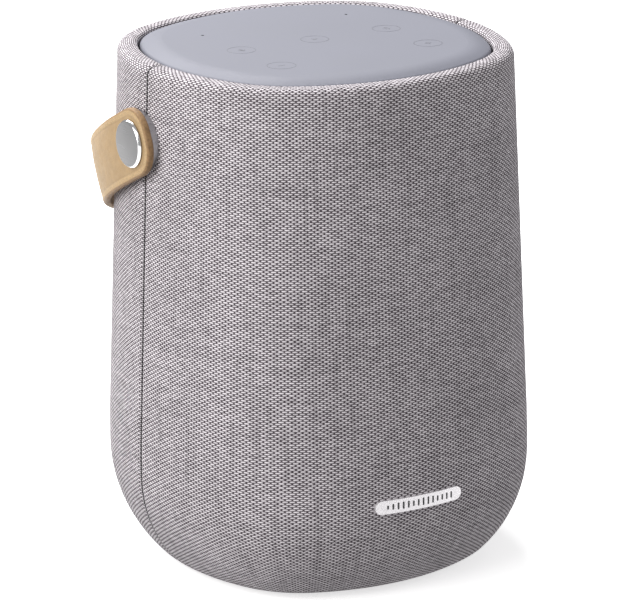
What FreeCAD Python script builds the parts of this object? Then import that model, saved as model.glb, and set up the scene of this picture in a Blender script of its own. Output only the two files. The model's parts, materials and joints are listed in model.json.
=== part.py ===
"""Portable smart speaker with a leather carrying strap.

Millimetres, +Z up. The origin is the centre of the flat face that the foot pad stands on.
The front (grille and badge) faces -Y. The strap's hinge axis runs along X.

The body is a rounded square whose outline is made of four shallow side arcs and four corner
arcs, all tangent. One meridian, drawn in the XZ plane, is revolved about the eight centres of
those arcs, so every offset of the skin is exact: fabric, shell and collar are true parallels.
"""
import FreeCAD, Part
import math
import os

V = FreeCAD.Vector
X_AXIS, Y_AXIS, Z_AXIS = V(1, 0, 0), V(0, 1, 0), V(0, 0, 1)

# ---------------------------------------------------------------- driving dimensions
RIM_HEIGHT = 188.0            # top of the fabric rim above the table
FOOT_HEIGHT = 2.0             # underside of the fabric above the table
BASE_HALF = 56.0              # half-width of the flat underside

# outline of the rounded square, measured from the body's axis
SIDE_OFFSET = 18.4            # how far behind the axis each side arc has its centre
CORNER_CENTRE = 18.75         # x and y of each corner arc's centre
# half-width less the radius of a corner arc
CORNER_INSET = math.hypot(CORNER_CENTRE, CORNER_CENTRE + SIDE_OFFSET) - SIDE_OFFSET

# meridian, from the foot up: (radius, turn in degrees)
HEEL = (5.4, 46.0)
BOWL = (50.0, 44.0)
BELLY = (400.0, 2.5)
RIM_RADIUS = 3.2
LIP_RADIUS = 1.4

# the layers of the skin, as distances inwards from the outer face of the fabric
FABRIC = 1.0
SHELL_OUT, SHELL_IN = 1.1, 3.4
GRILLE_IN = 3.2
COLLAR_OUT, COLLAR_IN = 3.3, 5.8

SEAM_Y = 0.8                  # plane in which the front and back panels of the fabric meet
SEAM_GAP = 0.1

# touch panel
PANEL_HALF = 59.8
PANEL_GAP = 0.8               # dark gap between the panel and the fabric
PANEL_FOOT_Z = 180.1
PANEL_EDGE_Z = 186.1
PANEL_ROLL = ((1.6, 65.0), (17.0, 25.0))
PANEL_WALL = 2.2
TOUCH_X, TOUCH_Y = 30.2, 27.2
TOUCH_RING_R = 5.0
RING_LINE, RING_DEPTH = 0.24, 0.15
MIC_R = 0.6

# cabinet
FLOOR_Z, FLOOR_T = 28.0, 3.0
CEILING_Z, CEILING_T = 172.0, 2.5
BAFFLE_BACK_Y, BAFFLE_T = -44.0, 4.0
SEAL_T = 1.0

# drivers, centred on x = 0
WOOFER_Z = 85.0
WOOFER_HOLE_R = 46.6
TWEETER_Z = 156.0
TWEETER_HOLE_R = 13.8

# strap and its pivots
PIVOT_Y, PIVOT_Z = 2.8, 161.0
BOSS_R, BOSS_FACE_X = 10.9, 70.9
STRAP_T, STRAP_W = 2.8, 24.4
STRAP_GAP = 0.1
STRAP_TILT = 26.0             # degrees below the horizontal, towards the back
STRAP_REACH = 88.8            # from the hinge axis to the middle of the strap's thickness
STRAP_SIDE_R = 81.0           # bend of each side, and below the tighter bend round the back
STRAP_BACK_R = 67.0
STRAP_END = 11.8              # leather past the hinge axis
STRAP_END_R = 9.8
RIVET_HEAD_R, RIVET_HEAD_T = 8.6, 1.3
RIVET_SHANK_R = 3.0

# controls on the back
CONTROL_Z = 44.0
INLAY_L, INLAY_H = 54.0, 15.0
POWER_X, MUTE_X, LED_X, USB_X = 18.0, 6.0, -4.0, -16.0
BUTTON_R, BUTTON_CLEAR = 4.0, 0.35

# badge
BADGE_X, BADGE_Z, BADGE_L, BADGE_H = -3.7, 38.5, 34.8, 5.0

M25_HEAD_R, M25_SHANK_R = 2.2, 1.2

os.makedirs("parts", exist_ok=True)


# ---------------------------------------------------------------- helpers
def save(name, shape):
    """Write one node. A group of pieces is a compound of separate solids."""
    solids = shape.Solids
    if not solids or any(not s.isValid() or s.Volume <= 0 for s in solids):
        raise RuntimeError(name + " has a bad solid")
    shape = solids[0] if len(solids) == 1 else Part.makeCompound(solids)
    shape.exportStep("parts/" + name + ".step")
    print("%-24s solids %2d  volume %9.1f" % (name, len(solids), shape.Volume))


def box(x0, x1, y0, y1, z0, z1):
    return Part.makeBox(x1 - x0, y1 - y0, z1 - z0, V(x0, y0, z0))


def rod(radius, start, end):
    way = end - start
    return Part.makeCylinder(radius, way.Length, start, way)


def rod_y(radius, x, z, y0, y1):
    return rod(radius, V(x, y0, z), V(x, y1, z))


def rod_z(radius, x, y, z0, z1):
    return rod(radius, V(x, y, z0), V(x, y, z1))


def fuse(shapes):
    return shapes[0].multiFuse(list(shapes[1:])).removeSplitter()


def cut(shape, tools):
    return shape.cut(Part.makeCompound(list(tools)))


def obround_y(x, z, length, height, y0, y1):
    """A prism along Y with an obround section, long along X."""
    r, half = height / 2.0, (length - height) / 2.0
    bar = box(x - half, x + half, y0, y1, z - r, z + r)
    return fuse([bar, rod_y(r, x - half, z, y0, y1), rod_y(r, x + half, z, y0, y1)])


def trace(start, heading, moves):
    """Edges of a smooth path in the XZ plane.

    A move is ("line", length) or ("arc", radius, turn): a positive turn bends to the left.
    """
    x, z = start
    angle = math.radians(heading)
    edges = []
    for move in moves:
        if move[0] == "line":
            nx, nz = x + move[1] * math.cos(angle), z + move[1] * math.sin(angle)
            edges.append(Part.LineSegment(V(x, 0, z), V(nx, 0, nz)).toShape())
        else:
            radius, turn = move[1], math.radians(move[2])
            side = radius if turn > 0 else -radius
            cx, cz = x - side * math.sin(angle), z + side * math.cos(angle)
            spots = [(cx + side * math.sin(angle + turn * k), cz - side * math.cos(angle + turn * k))
                     for k in (0.5, 1.0)]
            (mx, mz), (nx, nz) = spots
            edges.append(Part.Arc(V(x, 0, z), V(mx, 0, mz), V(nx, 0, nz)).toShape())
            angle += turn
        x, z = nx, nz
    return edges, (x, z)


def line(a, b):
    return Part.LineSegment(V(a[0], 0, a[1]), V(b[0], 0, b[1])).toShape()


def section(points):
    """A closed straight-sided section in the XZ plane."""
    ring = list(points) + [points[0]]
    return [line(a, b) for a, b in zip(ring, ring[1:])]


def revolve_eight(edges, closed):
    """Turn a meridian into a rounded-square solid; open ends are closed with flat faces."""
    wire = Part.Wire(Part.__sortEdges__(edges))
    side_half = math.degrees(math.atan2(CORNER_CENTRE, CORNER_CENTRE + SIDE_OFFSET))
    corner_span = 90.0 - 2.0 * side_half
    patches = []
    for quarter in range(4):
        side = wire.copy()
        side.rotate(V(-SIDE_OFFSET, 0, 0), Z_AXIS, -side_half)
        side = side.revolve(V(-SIDE_OFFSET, 0, 0), Z_AXIS, 2.0 * side_half)
        corner = wire.copy()
        corner.translate(V(-CORNER_INSET, 0, 0))
        corner.rotate(V(0, 0, 0), Z_AXIS, side_half)
        corner = corner.revolve(V(0, 0, 0), Z_AXIS, corner_span)
        corner.translate(V(CORNER_CENTRE, CORNER_CENTRE, 0))
        for patch in (side, corner):
            patch.rotate(V(0, 0, 0), Z_AXIS, 90.0 * quarter)
            patches.extend(patch.Faces)
    if not closed:
        heights = [wire.BoundBox.ZMin, wire.BoundBox.ZMax]
        for height in heights:
            rims = [e for f in patches for e in f.Edges
                    if abs(e.BoundBox.ZMin - height) < 1e-4 and abs(e.BoundBox.ZMax - height) < 1e-4]
            ring = Part.Wire(Part.__sortEdges__(rims))
            patches.append(Part.Face(ring))
    skin_faces = Part.makeCompound(patches)
    skin_faces.sewShape()
    solid = Part.makeSolid(skin_faces.Shells[0])
    if not solid.isValid() or not solid.Shells[0].isClosed():
        raise RuntimeError("a revolved outline did not close")
    if solid.Volume < 0:
        solid.reverse()
    return solid


def wall_length():
    """Straight run between the belly and the rim that brings the rim to its height."""
    arcs = (HEEL, BOWL, BELLY)
    _, (_, z) = trace((BASE_HALF, FOOT_HEIGHT), 0, [("arc",) + arc for arc in arcs])
    lean = sum(turn for _, turn in arcs)
    rise = RIM_HEIGHT - RIM_RADIUS * (1.0 + math.cos(math.radians(lean))) - z
    return rise / math.sin(math.radians(lean)), lean


WALL_LENGTH, WALL_LEAN = wall_length()


def skin_moves(inset):
    """The meridian's curved run at a distance inside the fabric, from heel to wall."""
    moves = []
    if inset < HEEL[0]:
        moves.append(("arc", HEEL[0] - inset, HEEL[1]))
    moves.append(("arc", BOWL[0] - inset, BOWL[1]))
    moves.append(("arc", BELLY[0] - inset, BELLY[1]))
    return moves


def skin_start(inset):
    """Where the run begins, and its heading: past the heel once the inset is larger than it."""
    if inset < HEEL[0]:
        return (BASE_HALF, FOOT_HEIGHT + inset), 0.0
    turn = math.radians(HEEL[1])
    x = BASE_HALF + (HEEL[0] - inset) * math.sin(turn)
    z = FOOT_HEIGHT + HEEL[0] - (HEEL[0] - inset) * math.cos(turn)
    return (x, z), HEEL[1]


def wall_run(inset, top_z):
    """The meridian up to a height on the straight wall."""
    start, heading = skin_start(inset)
    edges, (x, z) = trace(start, heading, skin_moves(inset))
    slope = math.tan(math.radians(WALL_LEAN - 90.0))
    end = (x - slope * (top_z - z), top_z)
    return edges + [line((x, z), end)], start, end


def envelope(inset, top_z=183.0):
    """Everything inside the skin at that inset."""
    edges, _, _ = wall_run(inset, top_z)
    return revolve_eight(edges, closed=False)


def rim_run(inset, lip_z):
    """The whole meridian: foot, wall, over the rim and down the lip beside the touch panel."""
    start, heading = skin_start(inset)
    groove_x = PANEL_HALF + PANEL_GAP
    _, (x, _) = trace((BASE_HALF, FOOT_HEIGHT), 0, skin_moves(0) + [
        ("line", WALL_LENGTH), ("arc", RIM_RADIUS, 180.0 - WALL_LEAN)])
    flat = x - groove_x - LIP_RADIUS
    moves = skin_moves(inset) + [("line", WALL_LENGTH), ("arc", RIM_RADIUS - inset, 180.0 - WALL_LEAN),
                                 ("line", flat), ("arc", LIP_RADIUS - inset, 90.0),
                                 ("line", RIM_HEIGHT - LIP_RADIUS - lip_z)]
    edges, end = trace(start, heading, moves)
    return edges, start, end


def skin(outer, inner, top_z=183.0):
    """The layer between two insets, up to a height on the wall."""
    out_edges, out_start, out_end = wall_run(outer, top_z)
    in_edges, in_start, in_end = wall_run(inner, top_z)
    ends = [line(out_start, in_start), line(out_end, in_end)]
    return revolve_eight(out_edges + in_edges + ends, closed=True)


def squircle_plate(half, z0, z1):
    """A flat rounded-square plate."""
    return revolve_eight([line((half, z0), (half, z1))], closed=False)


def squircle_ring(inner, outer, z0, z1):
    return revolve_eight(section([(inner, z0), (outer, z0), (outer, z1), (inner, z1)]), closed=True)


def mirrored(shape):
    return shape.mirror(V(0, 0, 0), X_AXIS)


# ---------------------------------------------------------------- fabric and shells
BIG = 120.0
FRONT_HALF = box(-BIG, BIG, -BIG, SEAM_Y - SEAM_GAP / 2, -1, 200)
BACK_HALF = box(-BIG, BIG, SEAM_Y + SEAM_GAP / 2, BIG, -1, 200)
HEM_X = 50.0
SHELL_HEM_X = 45.9


def fabric_sock():
    """Both panels of the fabric as one closed tube, with its hems at the foot and the touch panel."""
    outer, out_start, out_end = rim_run(0.0, 183.7)
    inner, in_start, in_end = rim_run(FABRIC, 183.7)
    hem_low, hem_high = (HEM_X, out_start[1]), (HEM_X, in_start[1])
    hem = [line(out_start, hem_low), line(hem_low, hem_high), line(hem_high, in_start)]
    return revolve_eight(outer + inner + hem + [line(out_end, in_end)], closed=True)


def shell_tube(inner_inset):
    """The hard shell under the fabric, with a flange at the foot and a solid rim."""
    shelf_z = 183.6
    outer, out_start, out_end = rim_run(SHELL_OUT, shelf_z)
    inner, in_start, in_end = wall_run(inner_inset, shelf_z)
    hem_low, hem_high = (SHELL_HEM_X, out_start[1]), (SHELL_HEM_X, in_start[1])
    hem = [line(out_start, hem_low), line(hem_low, hem_high), line(hem_high, in_start)]
    return revolve_eight(outer + inner + hem + [line(out_end, in_end)], closed=True)


def inlay_prism(grow, y0, y1):
    return obround_y(0, CONTROL_Z, INLAY_L + 2 * grow, INLAY_H + 2 * grow, y0, y1)


def pivot_hole(radius):
    return rod(radius, V(-BIG, PIVOT_Y, PIVOT_Z), V(BIG, PIVOT_Y, PIVOT_Z))


def badge_pins(radius, y0, y1):
    return [rod_y(radius, BADGE_X + s * 11.0, BADGE_Z, y0, y1) for s in (-1, 1)]


sock = fabric_sock()
shank_hole = pivot_hole(RIVET_SHANK_R + 0.1)
save("fabric_front", cut(sock.common(FRONT_HALF), [shank_hole] + badge_pins(1.05, -80, -60)))
save("fabric_back", cut(sock.common(BACK_HALF), [shank_hole, inlay_prism(0.1, 50, 90)]))


def grille():
    """Front shell with tall sound slots in front of the drivers."""
    tube = shell_tube(GRILLE_IN).common(FRONT_HALF)
    slots = []
    rows, columns = 4, 9
    for row in range(rows):
        for column in range(columns):
            x = (column - (columns - 1) / 2.0) * 9.6
            z = 40.0 + row * 34.0
            slots.append(obround_y(0, 0, 26.0, 4.4, -BIG, -45.0))
            slots[-1].rotate(V(0, 0, 0), Y_AXIS, 90)
            slots[-1].translate(V(x, 0, z + 10.0))
    holes = [shank_hole] + badge_pins(1.05, -80, -60)
    return cut(tube, slots + holes)


save("grille_shell", grille())

BASE_SCREW_SPOTS = [(40.8, 0.0), (0.0, 40.8), (-40.8, 0.0), (0.0, -40.8)]
BAFFLE_SCREW_SPOTS = [(s * x, z) for s in (-1, 1) for x, z in ((48.0, 42.0), (46.0, 129.0), (44.0, 166.0))]
BOARD_SPOTS = [(s * 31.0, z) for s in (-1, 1) for z in (58.0, 99.0)]
DECK_SPOTS = [(s * 38.0, t * 28.0) for s in (-1, 1) for t in (-1, 1)]
COLLAR_FRONT_Y = BAFFLE_BACK_Y + SEAL_T
RIBBON_Y, RIBBON_T, RIBBON_W = 53.4, 0.3, 12.0


def ribbon_slot(z0, z1):
    """Opening for the touch ribbon, with room all round."""
    return box(-RIBBON_W / 2 - 0.3, RIBBON_W / 2 + 0.3, RIBBON_Y - 0.3, RIBBON_Y + RIBBON_T + 0.3, z0, z1)


def control_holes(y0, y1):
    """Openings for the two buttons, the status lens and the USB-C receptacle."""
    tools = [rod_y(BUTTON_R + BUTTON_CLEAR, x, CONTROL_Z, y0, y1) for x in (POWER_X, MUTE_X)]
    tools.append(rod_y(1.3, LED_X, CONTROL_Z, y0, y1))
    tools.append(obround_y(USB_X, CONTROL_Z, 9.3, 3.6, y0, y1))
    return tools


def cabinet():
    """Rear shell, collar, floor and ceiling: one moulding that holds the air behind the woofer."""
    inside = envelope(COLLAR_OUT)
    collar_slab = box(-BIG, BIG, COLLAR_FRONT_Y, 14.0, FLOOR_Z, CEILING_Z + CEILING_T)
    collar = skin(COLLAR_OUT, COLLAR_IN).common(collar_slab)
    floor = inside.common(box(-BIG, BIG, COLLAR_FRONT_Y, BIG, FLOOR_Z, FLOOR_Z + FLOOR_T))
    ceiling = inside.common(box(-BIG, BIG, COLLAR_FRONT_Y, BIG, CEILING_Z, CEILING_Z + CEILING_T))
    posts = [rod_z(3.2, x, y, 5.6, FLOOR_Z) for x, y in BASE_SCREW_SPOTS]
    posts += [rod_z(3.0, x, y, CEILING_Z + 0.5, 176.9) for x, y in DECK_SPOTS]
    sockets = [rod_y(3.6, x, z, COLLAR_FRONT_Y, -30.0) for x, z in BAFFLE_SCREW_SPOTS]
    sockets += [box(min(x, x * 1.4), max(x, x * 1.4), COLLAR_FRONT_Y, -32.0, z - 1.5, z + 1.5)
                for x, z in BAFFLE_SCREW_SPOTS]
    sockets = [socket.common(inside) for socket in sockets]
    pillars = [rod_y(3.0, x, z, 51.7, 68.0) for x, z in BOARD_SPOTS]
    pillars += [rod_y(2.4, s * 25.0, 50.5, 60.2, 68.5) for s in (-1, 1)]
    near_wall = envelope(SHELL_IN - 0.6)
    pillars = [pillar.common(near_wall) for pillar in pillars]
    body = fuse([shell_tube(SHELL_IN).common(BACK_HALF), collar, floor, ceiling] + posts + sockets + pillars)
    pilots = [rod_z(M25_SHANK_R, x, y, 5.0, 16.0) for x, y in BASE_SCREW_SPOTS]
    pilots += [rod_z(M25_SHANK_R, x, y, 170.0, 178.0) for x, y in DECK_SPOTS]
    pilots += [rod_y(M25_SHANK_R, x, z, -45.0, -33.0) for x, z in BAFFLE_SCREW_SPOTS]
    pilots += [rod_y(M25_SHANK_R, x, z, 50.0, 60.0) for x, z in BOARD_SPOTS]
    wire_hole = rod_z(1.2, 12.0, 44.0, 26.0, 33.0)
    return cut(body, pilots + control_holes(50.0, 90.0) + [ribbon_slot(170, 180), wire_hole, shank_hole])


save("cabinet", cabinet())

# ---------------------------------------------------------------- top
TOUCH_SPOTS = [(x, 0.0) for x in (-TOUCH_X, 0.0, TOUCH_X)] + [(x, -TOUCH_Y) for x in (-TOUCH_X, TOUCH_X)]
CLAMP_IN, CLAMP_OUT = PANEL_HALF + 0.2, 63.2


def touch_panel():
    """Pillow-shaped cover: a hanging wall, a rolled edge and a flat plateau over it."""
    outer, end = trace((PANEL_HALF, PANEL_FOOT_Z), 90, [("line", PANEL_EDGE_Z - PANEL_FOOT_Z)] + [
        ("arc", radius, turn) for radius, turn in PANEL_ROLL])
    cover = revolve_eight(outer, closed=False)
    hollow = squircle_plate(PANEL_HALF - PANEL_WALL, PANEL_FOOT_Z - 1.0, end[1] - PANEL_WALL)
    tools = [hollow]
    tools += [rod_z(MIC_R, s * TOUCH_X, TOUCH_Y, 180, 195) for s in (-1, 1)]
    for x, y in TOUCH_SPOTS:
        ring = rod_z(TOUCH_RING_R + RING_LINE / 2, x, y, end[1] - RING_DEPTH, end[1] + 1).cut(
            rod_z(TOUCH_RING_R - RING_LINE / 2, x, y, end[1] - 1, end[1] + 2))
        tools.append(ring)
    return cut(cover, tools), end[1]


panel, PANEL_TOP_Z = touch_panel()
save("top_panel", panel)
save("fabric_clamp_ring", squircle_ring(CLAMP_IN, CLAMP_OUT, 180.0, 183.4))

deck = squircle_plate(63.4, 177.0, 179.9)
deck_holes = [rod_z(M25_SHANK_R + 0.1, x, y, 170, 190) for x, y in DECK_SPOTS]
deck_holes.append(ribbon_slot(170, 190))
stands = [rod_z(2.6, s * 44.0, y, 179.5, 183.4) for s in (-1, 1) for y in (-18.0, 18.0)]
save("top_deck", fuse([cut(deck, deck_holes)] + stands))


def screw_z(x, y, head_z, tip_z, up):
    """Pan-head screw along Z. Its head lies above head_z when it is driven down, below when up."""
    head_end = head_z - 1.6 if up else head_z + 1.6
    return fuse([rod_z(M25_HEAD_R, x, y, min(head_z, head_end), max(head_z, head_end)),
                 rod_z(M25_SHANK_R, x, y, min(head_z, tip_z), max(head_z, tip_z))])


def screw_y(x, z, head_y, tip_y):
    """Pan-head screw along Y, driven from the front, with its head on head_y."""
    return fuse([rod_y(M25_HEAD_R, x, z, head_y - 1.6, head_y), rod_y(M25_SHANK_R, x, z, head_y, tip_y)])


save("deck_screws", Part.makeCompound([screw_z(x, y, 179.9, 172.5, False) for x, y in DECK_SPOTS]))
BOARD_TOP_Z = 185.0
touch_pcb = squircle_plate(54.0, 183.5, BOARD_TOP_Z)
save("touch_board", cut(touch_pcb, [rod_z(1.0, s * TOUCH_X, TOUCH_Y, 180, 190) for s in (-1, 1)]))
ceiling_under = PANEL_TOP_Z - PANEL_WALL
guide = [squircle_plate(40.0, BOARD_TOP_Z + 0.1, BOARD_TOP_Z + 0.7)]
guide += [rod_z(3.2, x, y, BOARD_TOP_Z + 0.1, ceiling_under - 0.1) for x, y in TOUCH_SPOTS]
guide_holes = [rod_z(2.6, s * TOUCH_X, TOUCH_Y, 180, 190) for s in (-1, 1)]
save("light_guide", cut(fuse(guide), guide_holes))
save("mic_seals", Part.makeCompound([
    rod_z(2.3, s * TOUCH_X, TOUCH_Y, BOARD_TOP_Z, ceiling_under).cut(
        rod_z(0.7, s * TOUCH_X, TOUCH_Y, 180, 190)) for s in (-1, 1)]))

# ---------------------------------------------------------------- base
BASE_HOLES = [rod_z(M25_SHANK_R + 0.1, x, y, 0, 10) for x, y in BASE_SCREW_SPOTS]
BASE_HOLES += [rod_z(M25_HEAD_R + 0.2, x, y, 0, 3.4) for x, y in BASE_SCREW_SPOTS]
base = fuse([squircle_plate(49.7, 1.2, 3.0), squircle_plate(45.6, 2.9, 5.4)])
save("base_plate", cut(base, BASE_HOLES))
save("base_screws", Part.makeCompound([screw_z(x, y, 3.4, 15.0, True) for x, y in BASE_SCREW_SPOTS]))


def foot_pad():
    """Rubber pad over the screws: a flat face to stand on, with a groove round its edge."""
    edges = [line((48.2, 0.0), (48.6, 0.4)), line((48.6, 0.4), (48.6, 1.2))]
    groove = squircle_ring(43.4, 44.2, -1.0, 0.4)
    return revolve_eight(edges, closed=False).cut(groove)


save("foot_pad", foot_pad())

# ---------------------------------------------------------------- baffle and seal
BAFFLE_FRONT_Y = BAFFLE_BACK_Y - BAFFLE_T
front_clear = envelope(GRILLE_IN + 0.2)
plate = front_clear.common(box(-BIG, BIG, BAFFLE_FRONT_Y, BAFFLE_BACK_Y, FLOOR_Z, CEILING_Z + CEILING_T))
WOOFER_SCREW_R, TWEETER_SCREW_R = 48.3, 15.9


def around(centre_z, radius, angles):
    """Spots on a circle on the baffle, as (x, z)."""
    turns = [math.radians(a) for a in angles]
    return [(radius * math.cos(t), centre_z + radius * math.sin(t)) for t in turns]


WOOFER_SCREW_SPOTS = around(WOOFER_Z, WOOFER_SCREW_R, (45, 135, 225, 315))
TWEETER_SCREW_SPOTS = around(TWEETER_Z, TWEETER_SCREW_R, (90, 210, 330))
baffle_holes = [rod_y(WOOFER_HOLE_R, 0, WOOFER_Z, -60, -40), rod_y(TWEETER_HOLE_R, 0, TWEETER_Z, -60, -40)]
baffle_holes += [rod_y(M25_SHANK_R + 0.1, x, z, -60, -40) for x, z in BAFFLE_SCREW_SPOTS]
baffle_holes += [rod_y(0.9, x, z, -60, -40) for x, z in WOOFER_SCREW_SPOTS + TWEETER_SCREW_SPOTS]
save("baffle", cut(plate, baffle_holes))
baffle_screws = [screw_y(x, z, BAFFLE_FRONT_Y, -34.0) for x, z in BAFFLE_SCREW_SPOTS]
save("baffle_screws", Part.makeCompound(baffle_screws))
seal_slab = box(-BIG, BIG, BAFFLE_BACK_Y, COLLAR_FRONT_Y, FLOOR_Z, CEILING_Z + CEILING_T)
seal_cut = envelope(COLLAR_IN).common(box(-BIG, BIG, -60, 0, FLOOR_Z + FLOOR_T, CEILING_Z))
seal = envelope(COLLAR_OUT).common(seal_slab).cut(seal_cut)
save("baffle_seal", cut(seal, [rod_y(M25_SHANK_R + 0.1, x, z, -60, -40) for x, z in BAFFLE_SCREW_SPOTS]))


# ---------------------------------------------------------------- drivers
def turned(points):
    """A turned piece from a section of (radius, height) points, about Z."""
    wire = Part.Wire(section(points))
    return Part.Face(wire).revolve(V(0, 0, 0), Z_AXIS, 360)


def tube(inner, outer, low, high):
    return turned([(inner, low), (outer, low), (outer, high), (inner, high)])


def arc_xz(a, b, c):
    return Part.Arc(V(a[0], 0, a[1]), V(b[0], 0, b[1]), V(c[0], 0, c[1])).toShape()


def on_baffle(shape, height):
    """Stand a piece that was drawn along +Z on the front of the baffle, facing -Y."""
    placed = shape.copy()
    placed.rotate(V(0, 0, 0), X_AXIS, 90)
    placed.translate(V(0, BAFFLE_FRONT_Y, height))
    return placed


def woofer_basket():
    """Flange, six-legged frame, spider shelf and magnet seat."""
    outer = turned([(46.2, 0), (50.2, 0), (50.2, 2.5), (45.6, 2.5), (44.7, 0.4), (29.0, -26.4), (14.2, -26.4),
                    (14.2, -28.0), (30.2, -28.0), (46.0, -1.0)])
    shelf = tube(28.0, 31.4, -23.0, -21.6)
    windows = []
    for k in range(6):
        window = box(20, 60, -9, 9, -20.0, -4.0)
        window.rotate(V(0, 0, 0), Z_AXIS, 60 * k + 30)
        windows.append(window)
    frame = cut(outer, windows).fuse(shelf).removeSplitter()
    screws = [rod_z(1.1, x, z - WOOFER_Z, -1, 5) for x, z in WOOFER_SCREW_SPOTS]
    return cut(frame, screws)


CONE_LIP_H = 2.5
SHEET = 0.6


def woofer_cone():
    """Paper cone with a slightly curved flank and a flat lip for the surround."""
    low, high = CONE_LIP_H - SHEET, CONE_LIP_H
    outer = [arc_xz((13.2, -15.0), (27.0, -8.0), (38.0, low)), line((38.0, low), (39.4, low)),
             line((39.4, low), (39.4, high)), line((39.4, high), (37.7, high)),
             arc_xz((37.7, high), (26.6, -7.3), (13.2, -14.2)), line((13.2, -14.2), (13.2, -15.0))]
    return Part.Face(Part.Wire(outer)).revolve(V(0, 0, 0), Z_AXIS, 360)


def surround():
    """Half-roll of rubber between the cone's lip and the basket's flange."""
    low, roll_x = CONE_LIP_H, 42.5
    outer_r, inner_r = 3.0, 2.4
    first, last = 37.8, 46.4
    high = low + SHEET
    foot = math.sqrt(outer_r ** 2 - SHEET ** 2)
    edges = [line((first, low), (roll_x - inner_r, low)),
             arc_xz((roll_x - inner_r, low), (roll_x, low + inner_r), (roll_x + inner_r, low)),
             line((roll_x + inner_r, low), (last, low)), line((last, low), (last, high)),
             line((last, high), (roll_x + foot, high)),
             arc_xz((roll_x + foot, high), (roll_x, low + outer_r), (roll_x - foot, high)),
             line((roll_x - foot, high), (first, high)), line((first, high), (first, low))]
    return Part.Face(Part.Wire(Part.__sortEdges__(edges))).revolve(V(0, 0, 0), Z_AXIS, 360)


def spider():
    """Corrugated suspension between the voice coil and the basket's shelf."""
    waves, pitch, height, low = 5, 1.3, 0.9, -19.6
    top = [(13.3, low)] + [(14.6 + k * pitch, low + height * (k % 2)) for k in range(2 * waves + 1)]
    bottom = [(radius, level - 0.5) for radius, level in reversed(top)]
    return turned(top + [(30.6, low), (30.6, low - 1.5), (28.2, low - 1.5)] + bottom)


def dome(rim_r, rim_h, rise, sheet):
    """A thin spherical cap over a rim."""
    ball_r = (rim_r ** 2 + rise ** 2) / (2.0 * rise)
    centre = rim_h + rise - ball_r
    whole = Part.makeSphere(ball_r, V(0, 0, centre)).cut(Part.makeSphere(ball_r - sheet, V(0, 0, centre)))
    return whole.common(rod_z(rim_r, 0, 0, rim_h, rim_h + rise + 1))


save("woofer_basket", on_baffle(woofer_basket(), WOOFER_Z))
save("woofer_front_plate", on_baffle(tube(13.7, 30.0, -33.0, -28.0), WOOFER_Z))
save("woofer_magnet", on_baffle(tube(16.0, 36.0, -45.0, -33.0), WOOFER_Z))
pole_piece = fuse([tube(5.0, 33.0, -50.0, -45.0), tube(5.0, 12.0, -45.0, -27.5)])
save("woofer_back_plate", on_baffle(pole_piece, WOOFER_Z))
save("woofer_cone", on_baffle(woofer_cone(), WOOFER_Z))
save("woofer_dust_cap", on_baffle(dome(15.0, -12.6, 5.5, 0.5), WOOFER_Z))
former = [tube(12.4, 12.8, -40.5, -14.0), tube(12.4, 13.2, -37.5, -25.5), tube(12.4, 13.2, -20.5, -14.0)]
save("woofer_voice_coil", on_baffle(fuse(former), WOOFER_Z))
save("woofer_surround", on_baffle(surround(), WOOFER_Z))
save("woofer_spider", on_baffle(spider(), WOOFER_Z))
save("woofer_gasket", on_baffle(tube(45.6, 46.4, 3.15, 4.3), WOOFER_Z))


def driver_screws(spots, head_r, head_t, seat_y, tip_y):
    """Flat-head screws that hold a driver's flange to the baffle."""
    heads = [rod_y(head_r, x, z, seat_y - head_t, seat_y) for x, z in spots]
    shanks = [rod_y(0.9, x, z, seat_y, tip_y) for x, z in spots]
    return Part.makeCompound([fuse([head, shank]) for head, shank in zip(heads, shanks)])


save("woofer_screws", driver_screws(WOOFER_SCREW_SPOTS, 1.8, 1.2, -50.5, -42.0))
terminal = fuse([box(-9, 9, -3.5, -2.0, 0, 12), box(-6, -4, -6, -3.5, 2, 9), box(4, 6, -6, -3.5, 2, 9)])
terminal.translate(V(0, -24.0, WOOFER_Z + 38.5))
save("woofer_terminals", terminal)

faceplate = turned([(9.6, 0), (18.4, 0), (18.4, 1.4), (17.6, 2.2), (13.5, 2.2), (9.6, 0.8)])
neck = tube(11.6, 13.5, -2.5, 0.2)
tweeter_holes = [rod_z(1.0, x, z - TWEETER_Z, -1, 5) for x, z in TWEETER_SCREW_SPOTS]
save("tweeter_faceplate", on_baffle(cut(fuse([faceplate, neck]), tweeter_holes), TWEETER_Z))
save("tweeter_screws", driver_screws(TWEETER_SCREW_SPOTS, 1.5, 1.0, -50.2, -44.2))
save("tweeter_dome", on_baffle(dome(9.0, 0.4, 3.4, 0.4), TWEETER_Z))
save("tweeter_voice_coil", on_baffle(tube(8.5, 8.9, -4.5, 0.4), TWEETER_Z))
cup = turned([(0, -15.0), (12.6, -15.0), (12.6, -2.7), (9.3, -2.7), (9.3, -5.4), (11.0, -5.4), (11.0, -12.5),
              (0, -12.5)])
save("tweeter_motor", on_baffle(fuse([cup, rod_z(8.1, 0, 0, -12.6, -2.7)]), TWEETER_Z))

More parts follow.
